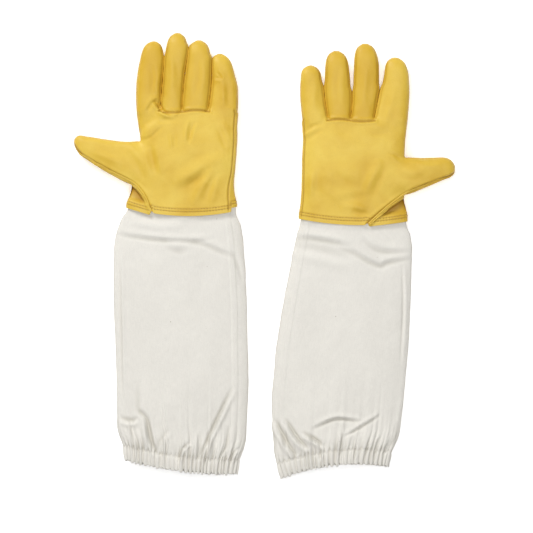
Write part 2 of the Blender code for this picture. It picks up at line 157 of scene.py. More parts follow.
CANVAS_FOLDS = {
    "left": [
        ([(-170, 25), (-150, 21), (-113, 16.5), (-80, 15.5), (-56, 18)], 1.0, 2.6),
        ([(-84, 15), (-64, 11), (-51, 4.5), (-33, -2)], 0.8, 2.8),
        ([(-150, 38), (-120, 33), (-92, 34)], -0.8, 5.0),
        ([(-112, 10), (-96, 5), (-84, 7)], 0.7, 4.0),
        ([(-162, 10), (-161, -50), (-160, -120), (-158, -176)], 0.7, 1.6),
        ([(-38, 10), (-30, -10), (-24, -30)], 0.7, 3.0),
        ([(-119, -224), (-126, -208), (-129, -196), (-132, -182), (-141, -172)], 2.1, 2.7),
        ([(-141, -181), (-149, -184), (-162, -181)], 1.3, 2.4),
        ([(-146, -216), (-147, -204), (-150, -187)], 0.9, 1.4),
        ([(-36, -148), (-46, -168), (-57, -191), (-67, -213), (-74, -228)], 1.7, 2.2),
        ([(-39, -190), (-43, -213), (-52, -228)], 1.1, 1.9),
        ([(-83, -208), (-92, -216), (-96, -230)], 1.2, 1.7),
        ([(-106, -194), (-115, -205), (-119, -218)], 0.8, 2.4),
        ([(-140, -140), (-141, -170), (-134, -194)], 0.7, 3.4),
        ([(-75, -196), (-76, -212), (-78, -228)], -0.9, 2.0),
        ([(-62, -204), (-64, -216), (-66, -230)], 0.8, 1.6),
        ([(-30, -214), (-36, -222), (-40, -232)], 0.9, 1.6),
    ],
    "right": [
        ([(30, 19), (50, 19), (75, 15), (98, 10)], 0.9, 2.8),
        ([(83, 8.5), (99, 3), (116, -7), (130, -12), (140, -8), (168, -3)], 1.0, 3.0),
        ([(108, 19), (129, 5), (166, 2)], 0.9, 3.4),
        ([(24, 2), (60, -4), (96, -14)], -0.8, 6.0),
        ([(154, -10), (155, -60), (152, -120)], 0.6, 1.6),
        ([(54, -194), (71, -185.5), (84, -182.5), (108, -186)], 1.4, 1.9),
        ([(90, -202), (110, -190), (130, -178)], 1.2, 1.6),
        ([(36, -224), (28, -213), (19, -198), (12, -183)], 2.1, 2.6),
        ([(50, -216), (41, -208), (33, -198), (23, -182)], 1.9, 2.5),
        ([(67, -214), (58, -206), (42, -197)], 1.7, 2.2),
        ([(84, -224), (86, -206), (87, -190)], 0.9, 1.6),
        ([(122, -226), (124, -213), (128, -203)], 0.9, 1.5),
        ([(136, -218), (146, -202), (150, -184)], 0.9, 2.4),
        ([(104, -226), (103, -212), (106, -200)], -0.8, 1.8),
        ([(62, -232), (66, -220), (64, -208)], -0.7, 1.6),
    ],
}


# ---------------------------------------------------------------- reading the CAD frame

joints = {joint["name"]: joint for joint in frame["joints"]}



def node_triangles(names):
    """World triangles of CAD nodes, as an array (triangle, corner, xyz)."""
    parts = []
    for name in names:
        mesh = frame["nodes"][name].data
        mesh.calc_loop_triangles()
        points = np.empty(len(mesh.vertices) * 3)
        mesh.vertices.foreach_get("co", points)
        corners = np.empty(len(mesh.loop_triangles) * 3, dtype=np.int32)
        mesh.loop_triangles.foreach_get("vertices", corners)
        parts.append(points.reshape(-1, 3)[corners.reshape(-1, 3)])
    return np.concatenate(parts)


def slice_extent(triangles, along, across, place):
    """Lowest and highest place across, and lowest and highest z, of the cut at one place along."""
    ahead = triangles @ along - place
    cuts = []
    for first, second in ((0, 1), (1, 2), (2, 0)):
        a, b = ahead[:, first], ahead[:, second]
        hit = (a < 0) != (b < 0)
        share = (a[hit] / (a[hit] - b[hit]))[:, None]
        cuts.append(triangles[hit, first] + share * (triangles[hit, second] - triangles[hit, first]))
    cuts = np.concatenate(cuts)
    side = cuts @ across
    return side.min(), side.max(), cuts[:, 2].min(), cuts[:, 2].max()


def smooth_rows(rows, rounds):
    """Evens out a path or a table of slices in place, keeping its two ends."""
    for _ in range(rounds):
        rows[1:-1] = (rows[:-2] + 2 * rows[1:-1] + rows[2:]) / 4
    return rows


def unit(vectors):
    return vectors / np.maximum(np.linalg.norm(vectors, axis=1), 1e-12)[:, None]


def lengths_along(path):
    """Length from the start of a path to each of its points."""
    steps = np.linalg.norm(np.diff(path, axis=0), axis=1)
    return np.concatenate(([0.0], np.cumsum(steps)))


def read_at(rows, lengths, places):
    """A path, or the normals along it, read at other lengths."""
    return np.stack([np.interp(places, lengths, rows[:, axis]) for axis in range(3)], axis=1)


def resample(path, spacing):
    lengths = lengths_along(path)
    return read_at(path, lengths, np.linspace(0, lengths[-1], max(2, int(lengths[-1] / spacing) + 1)))


def superellipse(turn, power_across, power_up):
    """Unit outline between an ellipse (power 2) and a box, as places across and up."""
    cos, sin = np.cos(turn), np.sin(turn)
    return (np.sign(cos) * np.abs(cos) ** (2 / power_across), np.sign(sin) * np.abs(sin) ** (2 / power_up))


def grid_quads(rows, columns, closed=False):
    """Faces of a grid of points whose columns go round; closed when its rows go round as well."""
    index = np.arange(rows * columns).reshape(rows, columns)
    if closed:
        index = np.concatenate([index, index[:1]])
    after = np.roll(index, -1, axis=1)
    return np.stack([index[:-1], index[1:], after[1:], after[:-1]], axis=-1).reshape(-1, 4)


class Limb:
    """A finger, thumb or hand as slices of its CAD nodes: place along, extent across, extent up."""

    def __init__(self, names, along, start=None, count=26, smoothing=2, powers=(2.5, 2.5), tip=0.0):
        self.triangles = node_triangles(names)
        self.along = np.array(along, float)
        self.across = np.cross(self.along, UP)
        reach = self.triangles @ self.along
        self.start = reach.min() if start is None else start
        self.end = reach.max()
        span = self.end - self.start
        turn = np.linspace(0.02, math.pi / 2, count)
        self.places = self.start + span * np.sin(turn) * 0.999
        table = [slice_extent(self.triangles, self.along, self.across, place) for place in self.places]
        self.table = smooth_rows(np.array(table), smoothing)
        self.powers = powers                 # squareness of the section at the base, and farther on
        self.trim = np.zeros((count, 2))     # kept off the low and the high side while lofts are fused
        if tip:
            self.round_tip(tip)

    def round_tip(self, length):
        """Bring the end halfway to one smooth arc; the CAD has only a few sections there."""
        begin = self.end - length
        low, high = self.at(begin)[:2]
        share = np.clip((self.places - begin) / (length + 0.2 * MM), 0, 1)
        arc = (high - low) / 2 * (1 - share ** TIP_POWER) ** (1 / TIP_POWER)
        middle = self.table[:, :2].mean(axis=1)
        half = (self.table[:, 1] - self.table[:, 0]) / 2
        half += np.where(share > 0, (arc - half) / 2, 0)
        self.table[:, 0] = middle - half
        self.table[:, 1] = middle + half

    def at(self, place):
        """Low across, high across, low z and high z at one place or many."""
        return np.array([np.interp(place, self.places, self.table[:, column]) for column in range(4)])

    def trim_at(self, place):
        return np.array([np.interp(place, self.places, self.trim[:, side]) for side in range(2)])

    def ring(self, place, angles, trimmed=False):
        """Points on the rounded section at a place; angle 0 is the high side, 90 degrees the top."""
        low, high, bottom, top = self.at(place)
        if trimmed:
            cut_low, cut_high = self.trim_at(place)
            low, high = low + cut_low, high - cut_high
        power = np.interp(place, [self.start, self.start + BOXY_REACH], self.powers)
        across, up = superellipse(angles, power, power)
        side = (low + high) / 2 + (high - low) / 2 * across
        height = (bottom + top) / 2 + (top - bottom) / 2 * up
        return self.along * place + side[:, None] * self.across + height[:, None] * UP

    def point(self, place, angle):
        return self.ring(place, np.array([angle]))[0]


def loft_closed(limb, inward, drawn=0.0, nose=0.0, tip=0.0, ring_size=96):
    """A closed mesh through the limb's sections, carried back by `inward` at its base and drawn in there.

    A nose lets the far end run out under the limbs that start there; a tip rounds it off on all sides.
    """
    rings = []
    angles = np.linspace(0, 2 * math.pi, ring_size, endpoint=False)
    base = limb.ring(limb.places[0], angles, True)
    centre = base.mean(axis=0)
    for share in (1.0, 0.5):
        rings.append(centre + (base - centre) * (1 - drawn * share) - limb.along * inward * share)
    for place in limb.places:
        rings.append(limb.ring(place, angles, True))
    centre = rings[-1].mean(axis=0)
    around = rings[-1] - centre
    for share in NOSE_STEPS if nose else ():
        narrower = [1 - 0.02 * share, 1, math.sqrt(1 - share ** 2)]
        rings.append(centre + around * narrower + limb.along * nose * share)
    for share in CAP_STEPS if tip else ():
        rings.append(centre + around * math.sqrt(1 - share ** 2) + limb.along * tip * share)
    mesh = bmesh.new()
    corners = [mesh.verts.new(point) for point in np.concatenate(rings)]
    for face in grid_quads(len(rings), ring_size):
        mesh.faces.new([corners[corner] for corner in face])
    mesh.faces.new(corners[:ring_size])
    mesh.faces.new(list(reversed(corners[-ring_size:])))
    bmesh.ops.recalc_face_normals(mesh, faces=mesh.faces)
    return mesh


# ---------------------------------------------------------------- mesh helpers

def new_object(name, mesh):
    item = bpy.data.objects.new(name, mesh)
    bpy.context.scene.collection.objects.link(item)
    return item


def arrays(mesh):
    """Points and quads of a mesh that is all quads."""
    points = np.empty(len(mesh.vertices) * 3)
    mesh.vertices.foreach_get("co", points)
    corners = np.empty(len(mesh.loops), dtype=np.int32)
    mesh.loops.foreach_get("vertex_index", corners)
    return points.reshape(-1, 3), corners.reshape(-1, 4)


def vertex_normals(points, quads):
    across = points[quads[:, 2]] - points[quads[:, 0]]
    other = points[quads[:, 3]] - points[quads[:, 1]]
    faces = np.cross(across, other)
    normals = np.zeros_like(points)
    for corner in range(4):
        np.add.at(normals, quads[:, corner], faces)
    return unit(normals)


def add_piece(name, material, points, quads, normals=None, values=None, coordinates=None):
    """A smooth object with its own normals, float attributes and the points' rest coordinates."""
    mesh = bpy.data.meshes.new(name)
    mesh.from_pydata(points.tolist(), [], quads.tolist())
    mesh.polygons.foreach_set("use_smooth", [True] * len(mesh.polygons))
    for key, data in (values or {}).items():
        layer = mesh.attributes.new(key, "FLOAT", "POINT")
        layer.data.foreach_set("value", np.asarray(data, np.float32))
    rest = mesh.attributes.new("rest", "FLOAT_VECTOR", "POINT")
    source = points if coordinates is None else coordinates
    rest.data.foreach_set("vector", np.asarray(source, np.float32).ravel())
    if normals is not None:
        mesh.normals_split_custom_set_from_vertices(normals.tolist())
    mesh.materials.append(material)
    return new_object(name, mesh)


def joined(parts):
    """Several (points, faces) pairs as one mesh that doesn't reach below the floor."""
    points, faces, total = [], [], 0
    for part_points, part_faces in parts:
        points.append(part_points)
        faces.append(part_faces + total)
        total += len(part_points)
    return above_floor(np.concatenate(points)), np.concatenate(faces)


def above_floor(points):
    points[:, 2] = np.maximum(points[:, 2], 0.0)
    return points


def part_of(points, quads, keep):
    """The kept faces with only their own points, and the index of each point in the whole mesh."""
    faces = quads[keep]
    used = np.unique(faces)
    place = np.full(len(points), -1)
    place[used] = np.arange(len(used))
    return used, place[faces]


def fused_skin(limbs):
    """One smooth quad mesh round several closed lofts."""
    whole = bmesh.new()
    for mesh in limbs:
        scratch = bpy.data.meshes.new("scratch")
        mesh.to_mesh(scratch)
        mesh.free()
        whole.from_mesh(scratch)
        bpy.data.meshes.remove(scratch)
    data = bpy.data.meshes.new("skin_source")
    whole.to_mesh(data)
    whole.free()
    item = new_object("skin_source", data)
    remesh = item.modifiers.new("fuse", "REMESH")
    remesh.mode = "VOXEL"
    remesh.voxel_size = VOXEL
    smooth = item.modifiers.new("smooth", "SMOOTH")
    smooth.factor = 0.5
    smooth.iterations = 9
    graph = bpy.context.evaluated_depsgraph_get()
    result = bpy.data.meshes.new_from_object(item.evaluated_get(graph))
    points, quads = arrays(result)
    bpy.data.objects.remove(item)
    bpy.data.meshes.remove(result)
    return points, quads


def curve_distance(points, curve, spacing=0.4 * MM, reach=8 * MM):
    """Distance of each point from a curve, and the length along the curve at its nearest place.

    Points out of reach get a distance of 1 m.
    """
    curve = np.asarray(curve)
    lengths = lengths_along(curve)
    places = np.arange(0, lengths[-1], spacing)
    dense = read_at(curve, lengths, places)
    low, high = dense.min(axis=0) - reach, dense.max(axis=0) + reach
    near = np.all((points > low) & (points < high), axis=1).nonzero()[0]
    distance = np.full(len(points), 1.0)
    length = np.zeros(len(points))
    tree = KDTree(len(dense))
    for index, place in enumerate(dense):
        tree.insert(place, index)
    tree.balance()
    for index in near:
        _, found, gap = tree.find(points[index])
        distance[index] = gap
        length[index] = places[found]
    return distance, length


def ease(value, low, high):
    share = np.clip((value - low) / (high - low), 0, 1)
    return share * share * (3 - 2 * share)


def bumps(points, size, seed, octaves=2):
    """Smooth noise between about -1 and 1 at each point."""
    offset = Vector((seed * 7.31, seed * 3.17, seed * 5.77))
    return np.array([noise.fractal(Vector(point) / size + offset, 1.0, 2.0, octaves) for point in points])


def relax(points, quads, weight, rounds):
    """Evens a mesh out where the weight says so."""
    faces = quads[np.any(weight[quads] > 0.01, axis=1)]
    first, second = faces.ravel(), np.roll(faces, -1, axis=1).ravel()
    total = len(points)
    count = np.maximum(np.bincount(first, minlength=total) + np.bincount(second, minlength=total), 1)
    moving = 0.5 * weight * (weight > 0.01)
    for _ in range(rounds):
        sums = np.stack([np.bincount(first, points[second, axis], total)
                         + np.bincount(second, points[first, axis], total) for axis in range(3)], axis=1)
        points = points + (sums / count[:, None] - points) * moving[:, None]
    return points


def plan_gap(flat, path):
    """Signed distance in plan from a path (positive to its left) and the share of its length there."""
    best = np.full(len(flat), 1.0)
    signed = np.full(len(flat), 1.0)
    share = np.zeros(len(flat))
    lengths = lengths_along(path)
    steps = np.diff(lengths)
    for index in range(len(path) - 1):
        a, run = path[index], path[index + 1] - path[index]
        along = np.clip(((flat - a) @ run) / (run @ run), 0, 1)
        away = flat - (a + along[:, None] * run)
        gap = np.hypot(away[:, 0], away[:, 1])
        side = np.sign(run[0] * away[:, 1] - run[1] * away[:, 0])
        closer = gap < best
        best[closer] = gap[closer]
        signed[closer] = (gap * side)[closer]
        share[closer] = (lengths[index] + along * steps[index])[closer] / lengths[-1]
    return signed, share


def rounded_path(corners, count=16):
    """A smooth path in plan through corners given in millimetres."""
    corners = np.asarray(corners, float) * MM
    if len(corners) == 2:
        return np.linspace(corners[0], corners[1], count)
    ends = np.concatenate([[2 * corners[0] - corners[1]], corners, [2 * corners[-1] - corners[-2]]])
    path = []
    for place in np.linspace(0, len(corners) - 1.0001, count):
        index, t = int(place), place % 1
        a, b, c, d = ends[index:index + 4]
        path.append(0.5 * (2 * b + (c - a) * t + (2 * a - 5 * b + 4 * c - d) * t ** 2
                           + (3 * b - a - 3 * c + d) * t ** 3))
    return np.array(path)


def fold_height(points, folds):
    """Height of folds laid on the upper side: (corners in mm, depth in mm, width in mm) for each.

    Each fold is a valley with a softer ridge on its left; a negative depth turns it inside out.
    """
    height = np.zeros(len(points))
    for corners, depth, width in folds:
        path = rounded_path(corners)
        size = width * MM
        near = np.all((points[:, :2] > path.min(axis=0) - 5 * size)
                      & (points[:, :2] < path.max(axis=0) + 5 * size), axis=1).nonzero()[0]
        gap, share = plan_gap(points[near, :2], path)
        fade = np.sin(np.clip(share, 0, 1) * math.pi) ** 0.6
        profile = 0.8 * np.exp(-((gap - 1.9 * size) / (1.2 * size)) ** 2) - np.exp(-(gap / size) ** 2)
        height[near] += depth * MM * fade * profile
    return height


# ---------------------------------------------------------------- the leather hand

class Hand:
    """Shapes one leather hand and splits it into pieces for the hand, each finger and the thumb; only the
    hand piece is attached to its body.
    """

    def __init__(self, side):
        self.side = side
        self.thumb_sign = -1 if side == "left" else 1     # the thumb points to -X or +X
        self.knuckle_y = joints[f"{side}_index_curl"]["pos_m"][1]
        self.read_hem()
        cuff_start = max(self.hem_ends[0][1], self.hem_ends[1][1]) + 1 * MM
        self.palm = Limb([f"{side}_palm", f"{side}_back"], (0, 1, 0), cuff_start, count=40, smoothing=1,
                         powers=(2.9, 3.2))
        self.fingers = {name: Limb(self.finger_nodes(name), (0, 1, 0), smoothing=4, powers=(3.4, 2.4),
                                   tip=TIP_LENGTH) for name in FINGERS}
        self.press_together()
        thumb_nodes = [f"{side}_thumb_front", f"{side}_thumb_back"]
        axis = np.array(joints[f"{side}_thumb_fold"]["axis"])
        self.thumb_root = np.array(joints[f"{side}_thumb_fold"]["pos_m"])
        self.thumb_out = np.cross(UP, axis)
        corners = node_triangles(thumb_nodes).reshape(-1, 3)
        way = corners[np.argmax(corners @ self.thumb_out)] - self.thumb_root
        way[2] = 0
        way /= np.linalg.norm(way)
        base = corners[(corners - self.thumb_root) @ self.thumb_out < 0.0015]
        self.thumb_low_y, self.thumb_high_y = base[:, 1].min(), base[:, 1].max()
        self.thumb = Limb(thumb_nodes, way, start=(base @ way).max() + 0.0005)
        self.shape()

    def finger_nodes(self, name):
        nodes = [f"{self.side}_{name}_front", f"{self.side}_{name}_back"]
        return nodes + [f"{self.side}_{name}_fourchette_{other}_side" for other in NEIGHBOURS[name]]

    def press_together(self):
        """Widens fingers that lie side by side until they touch, and trims them for the fusing."""
        order = sorted(FINGERS, key=lambda name: self.fingers[name].table[0, 0])
        changes = []
        for first, second in zip(order, order[1:]):
            a, b = self.fingers[first], self.fingers[second]
            end = CLOSED_TO[self.side][min(first, second, key=FINGERS.index)]
            changes.append((a, 1, b.at(a.places)[0] - a.table[:, 1], end))
            changes.append((b, 0, b.table[:, 0] - a.at(b.places)[1], end))
        for limb, edge, gap, end in changes:
            room = np.clip(gap / 2 + CONTACT, 0, WIDEST_PRESS)
            room *= 1 - ease(limb.places, end - 0.004, end + 0.003)
            limb.table[:, edge] += room * (1 if edge else -1)
            limb.trim[:, edge] = TRIM * (1 - ease(limb.places, end - 0.003, end + 0.006))

    def hem_line(self, x):
        """y of the leather's lower edge at x."""
        low, high = self.hem_ends
        share = np.clip((x - low[0]) / (high[0] - low[0]), 0, 1)
        chord = low[1] + (high[1] - low[1]) * share
        return chord - self.hem_bow * (1 - (2 * share - 1) ** 2)

    def hem_detail(self, x, upper):
        """How far the hem stands above that line: the notch at the thumb seam, the step at the side seam."""
        notch = NOTCH_HEIGHT * np.exp(-((x - self.notch[0]) / NOTCH_WIDTH) ** 2)
        outward = (x - self.notch[0]) * self.thumb_sign
        drop = HEM_DROP[self.side] * ease(outward, 0.0, 3.0 * MM) * np.exp(-np.maximum(outward, 0) / 0.016)
        step = HEM_STEP * ease(x, self.step_x, self.step_x + 0.8 * MM) if self.side == "left" else 0.0
        return np.where(upper, notch - drop, 0.0) + step

    def read_hem(self):
        """The ends, bow and notch of the leather's lower edge, from the CAD."""
        points = node_triangles([f"{self.side}_palm", f"{self.side}_back"]).reshape(-1, 3)
        low = points[points[:, 1] < self.knuckle_y - 0.09]
        left = low[np.argmin(low[:, 0])]
        right = low[np.argmax(low[:, 0])]
        self.hem_ends = (left, right)
        middle = low[np.abs(low[:, 0] - (left[0] + right[0]) / 2) < 0.004]
        self.hem_bow = (left[1] + right[1]) / 2 - middle[:, 1].min()
        notch_x = left[0] + (right[0] - left[0]) * NOTCH_SHARE[self.side]
        self.notch = (notch_x, float(self.hem_line(np.array(notch_x))))
        self.step_x = right[0] - HEM_STEP_INSET

    def seam_lines(self):
        """The sewn lines along the fingers, each a list of points close to the surface."""
        lines = []
        for name, limb in self.fingers.items():
            places = np.linspace(limb.start - 0.002, limb.end - 0.001, 40)
            outer = {"index": self.thumb_sign, "little": -self.thumb_sign}.get(name, 0)
            for edge in (-1, 1):
                base = 0.0 if edge > 0 else math.pi
                for level in (math.radians(34), -math.radians(38)):
                    if edge == outer and level < 0:
                        continue
                    path = []
                    for place in places:
                        share = (place - limb.start) / (limb.end - limb.start)
                        turn = level
                        if edge == outer:
                            turn = -0.1
                            if name == "little":
                                turn = math.radians(24 * (1 - ease(share, 0.1, 0.6)))
                        at_tip = 0.7 if turn > 0 else 0.25     # share of the angle kept at the very tip
                        turn *= at_tip + (1 - at_tip) * ease(limb.end - place, 0.0, 0.016)
                        path.append(limb.point(place, base + edge * turn))
                    lines.append(path)
        return lines

    def shape(self):
        lofts = [loft_closed(self.palm, 0.022, nose=NOSE_LENGTH)]
        lofts += [loft_closed(limb, 0.007, drawn=0.14, tip=TIP_CAP["finger"])
                  for limb in self.fingers.values()]
        lofts.append(loft_closed(self.thumb, 0.030, tip=TIP_CAP["thumb"]))
        self.points, self.quads = fused_skin(lofts)
        self.press_out()
        self.even_out()
        self.cut_hem()
        self.sculpt()
        self.normals = vertex_normals(self.points, self.quads)
        self.surface = BVHTree.FromPolygons(self.points.tolist(), self.quads.tolist())

    def nearest_finger(self, points):
        """Number of the finger, in the order of FINGERS, that each point is nearest to across."""
        gaps = []
        for name in FINGERS:
            low, high, _, _ = self.fingers[name].at(points[:, 1])
            gaps.append(np.abs(points[:, 0] - (low + high) / 2) / (high - low))
        return np.argmin(gaps, axis=0)

    def press_out(self):
        """Gives the fingers back what was trimmed off, up to the line where two of them meet."""
        nearest = self.nearest_finger(self.points)
        for index, name in enumerate(FINGERS):
            limb = self.fingers[name]
            mine = ((nearest == index) & (self.points[:, 1] > self.knuckle_y)).nonzero()[0]
            x, y = self.points[mine, 0], self.points[mine, 1]
            low, high, _, _ = limb.at(y)
            cut_low, cut_high = limb.trim_at(y)
            share = (x - low - cut_low) / (high - low - cut_low - cut_high)
            target = low + share * (high - low)
            target = np.where(cut_low > 0.2 * TRIM, np.maximum(target, low), target)
            target = np.where(cut_high > 0.2 * TRIM, np.minimum(target, high), target)
            self.points[mine, 0] = x + (target - x) * ease(y, self.knuckle_y, self.knuckle_y + 0.005)

    def even_out(self):
        """Smooths the leather over the knuckles and round the base of the thumb, not its outline."""
        level = np.abs(vertex_normals(self.points, self.quads)[:, 2]) ** 2
        knuckles = np.exp(-((self.points[:, 1] - self.knuckle_y - 0.001) / 0.009) ** 4)
        out = (self.points - self.thumb_root) @ self.thumb_out
        along = (self.points[:, 1] - self.thumb_low_y) / (self.thumb_high_y - self.thumb_low_y)
        thumb = np.exp(-((out + 0.006) / 0.017) ** 4) * np.exp(-((along - 0.5) / 0.62) ** 8)
        rounds = 60
        self.points = relax(self.points, self.quads, level * knuckles, rounds // 2)
        self.points = relax(self.points, self.quads, level * thumb, rounds * 2)

    def cut_hem(self):
        """Opens the cuff along the hem and puts the open edge exactly on the hem line."""
        height = (self.palm.table[0, 2] + self.palm.table[0, 3]) / 2
        line = self.hem_line(self.points[:, 0]) + self.hem_detail(self.points[:, 0],
                                                                  self.points[:, 2] > height)
        below = self.points[:, 1] < line
        keep = ~np.any(below[self.quads], axis=1)
        used, quads = part_of(self.points, self.quads, keep)
        points = self.points[used]
        rim = np.unique(self.open_edges(quads))
        points[rim, 1] = line[used][rim]
        self.points, self.quads = points, quads

    @staticmethod
    def open_edges(quads):
        """Directed edges that belong to one face only."""
        starts = quads.ravel()
        ends = np.roll(quads, -1, axis=1).ravel()
        keys = dict.fromkeys(zip(starts.tolist(), ends.tolist()))
        return np.array([pair for pair in keys if (pair[1], pair[0]) not in keys], dtype=np.int64)

    def thumb_seam(self):
        """The welted seam: from the thumb's tip along its lower edge, then over the palm to the hem."""
        thumb = self.thumb
        lower = math.pi if self.thumb_sign < 0 else 0.0
        path = []
        for place in np.linspace(thumb.end - 0.003, thumb.start + 0.002, 40):
            share = (place - thumb.start) / (thumb.end - thumb.start)
            path.append(thumb.point(place, lower + self.thumb_sign * (0.68 - 0.16 * share ** 4)))
        corner = path[-1]
        bulge = -self.thumb_sign * THUMB_SEAM_BOW[self.side]
        for share in np.linspace(0.07, 1, 16):
            x = corner[0] + (self.notch[0] - corner[0]) * share
            y = corner[1] + (self.notch[1] + NOTCH_HEIGHT - corner[1]) * share
            arc = math.sin(share * math.pi)
            y += bulge * arc * -self.thumb_sign * 0.8
            x += bulge * arc * 0.6
            top = self.palm.at(y)[3]
            path.append(np.array([x, y, corner[2] + (top - corner[2]) * min(1, share * 2.0)]))
        return smooth_rows(np.array(path), 4)

    def sculpt(self):
        """Seams, puckers, folds and the soft unevenness of leather, moved along the normals."""
        normals = vertex_normals(self.points, self.quads)
        offset = np.zeros(len(self.points))
        seam = np.zeros(len(self.points))

        def groove(path, depth, width, shoulder=0.35, pucker=0.1, dark=1.0):
            distance, length = curve_distance(self.points, path)
            inner = np.exp(-(distance / width) ** 2)
            beside = np.exp(-((distance - 2.6 * width) / (1.5 * width)) ** 2)
            ripple = np.sin(length * 2 * math.pi / (3.4 * MM)) * np.exp(-(distance / (3 * width)) ** 2)
            offset[:] += -depth * inner + depth * shoulder * beside + pucker * MM * ripple
            # Painted shade: the groove is darkened with the seam colour, partly for the seam's own darker
            # leather and partly as painted shade in the groove.
            seam[:] = np.maximum(seam, dark * inner)

        for path in self.seam_lines():
            groove(path, 0.30 * MM, 0.9 * MM, pucker=0.06, dark=0.35)
        groove(self.base_seam(), 1.0 * MM, 1.0 * MM, shoulder=0.7, pucker=0.12, dark=0.8)
        groove(self.on_top(self.side_seam()), 0.6 * MM, 0.8 * MM, pucker=0.08, dark=0.7)
        self.welt_path = self.thumb_seam()
        groove(self.on_top(self.welt_path), 1.1 * MM, 1.15 * MM, shoulder=0.45, pucker=0.08, dark=1.0)
        for rise in CUFF_ROWS.values():
            groove(self.cuff_line(rise), 0.32 * MM, 0.7 * MM, shoulder=0.6, pucker=0.16, dark=0.5)
        upper = ease(normals[:, 2], 0.0, 0.35)
        folds = fold_height(self.points, LEATHER_FOLDS[self.side])
        offset += upper * FOLD_STRENGTH[self.side] * folds
        # Fold valleys, used below as painted shade: they deepen and darken the tone in the creases.
        valley = upper * ease(-folds, 0.1 * MM, 1.0 * MM)
        offset += 0.40 * MM * bumps(self.points, 0.026, 1 + self.thumb_sign)
        offset += 0.14 * MM * bumps(self.points, 0.007, 5 + self.thumb_sign, 3)
        self.points = self.points + normals * offset[:, None]
        seam = self.sink_triangle(normals, seam)
        # Painted shade on the sides: where the surface turns steep it gets some of the dark seam colour and a
        # deeper, darker tone.
        outline = 1 - ease(np.abs(normals[:, 2]), 0.25, 0.85)
        steep_shade = 1 - ease(np.abs(normals[:, 2]), 0.10, 0.50)
        above_floor(self.points)
        self.seam = np.maximum(seam, 0.30 * steep_shade)
        self.tan_and_shade = np.maximum(self.panel_tone() + 0.6 * valley, 1.3 * outline)

    def panel_tone(self):
        """How deep the yellow is: each finger panel is cut from another part of the hide."""
        nearest = self.nearest_finger(self.points)
        y = self.points[:, 1] - self.knuckle_y
        tone = np.zeros(len(self.points))
        gradual = ease(y, -0.015, 0.035)
        sudden = ease(y, 0.001, 0.003)
        front = self.points[:, 2] > (self.palm.table[-1, 2] + self.palm.table[-1, 3]) / 2
        for index, name in enumerate(FINGERS):
            rise = np.where(front, sudden, gradual) if name in ("middle", "ring") else gradual
            tone = np.where(nearest == index, FINGER_TONE[self.side][index] * rise, tone)
        out = (self.points - self.thumb_root) @ self.thumb_out
        return np.where(y < -0.015, 0.30 * ease(out, -0.02, 0.03), tone)

    def sink_triangle(self, normals, seam):
        """Below the thumb seam the leather of the back lies deeper than the palm that crosses over it; a
        painted shadow along the seam is added to the seam value.
        """
        gap, _ = plan_gap(self.points[:, :2], self.welt_path[:, :2])
        under = gap * self.thumb_sign
        mine = (normals[:, 2] > 0.15) & (under > 0) & (self.points[:, 1] < self.thumb_low_y + 0.004)
        outward = (self.points[:, 0] - self.notch[0]) * self.thumb_sign
        mine &= outward > -1.0 * MM
        above_hem = self.points[:, 1] - self.hem_line(self.points[:, 0])
        depth = ease(under, 2.6 * MM, 4.4 * MM) * np.exp(-(under / 0.018) ** 2)
        depth *= 0.12 + 0.88 * ease(above_hem, 0.007, 0.014)
        self.points[:, 2] -= np.where(mine, TRIANGLE_DEPTH * depth, 0.0)
        # Painted shadow next to the seam, darkest close to it, carried in the seam value.
        shadow = depth * np.exp(-np.maximum(under - 0.004, 0) / 0.012)
        return np.where(mine, np.maximum(seam, shadow), seam)

    def base_seam(self):
        """The seam that joins the fronts of the middle and ring finger to the palm."""
        middle, ring = self.fingers["middle"], self.fingers["ring"]
        ends = np.concatenate([middle.at(middle.start + 0.001)[:2], ring.at(ring.start + 0.001)[:2]])
        xs = np.linspace(ends.min() - 0.001, ends.max() + 0.001, 40)
        path = []
        for share, x in zip(np.linspace(0, 1, len(xs)), xs):
            y = self.knuckle_y + 1.2 * MM * (1 + math.sin(share * math.pi * 2) * self.thumb_sign)
            path.append((x, y, self.palm.at(self.knuckle_y - 0.002)[3] - 0.0003))
        return self.on_top(np.array(path))

    def side_seam(self):
        """The seam on the little-finger side, a little inside the outline."""
        edge = 1 if self.thumb_sign < 0 else 0
        path = []
        for y in np.linspace(self.hem_line(self.step_x) - 0.001, self.knuckle_y + 0.003, 30):
            share = ease(y, self.hem_ends[edge][1], self.hem_ends[edge][1] + 0.045)
            inset = (9.6 - 5.8 * share) * MM if self.thumb_sign < 0 else (2.6 - 0.4 * share) * MM
            outline = self.palm.at(y)[edge]
            path.append((outline + inset * (-1 if edge else 1), y, 0.02))
        return np.array(path)

    def on_top(self, path):
        """Drops a path onto the upper side of the leather as it stands."""
        surface = BVHTree.FromPolygons(self.points.tolist(), self.quads.tolist())
        placed = []
        for x, y, z in path:
            hit = surface.ray_cast(Vector((x, y, 0.08)), Vector((0, 0, -1)))[0]
            placed.append((x, y, z) if hit is None or hit.z < z - 0.006 else tuple(hit))
        return np.array(placed)

    def cuff_line(self, rise):
        """A row of cuff stitching, all round the cuff, at one height above the hem."""
        path = []
        for angle in np.linspace(0, 2 * math.pi, 160, endpoint=False):
            guess = self.palm.point(self.hem_ends[0][1], angle)
            upper = math.sin(angle) > 0
            y = float(self.hem_line(guess[0]) + 0.9 * self.hem_detail(guess[0], upper)) + rise
            path.append(self.palm.point(y, angle))
        path.append(path[0])
        return np.array(path)

    # ------------------------------------------------------------ pieces

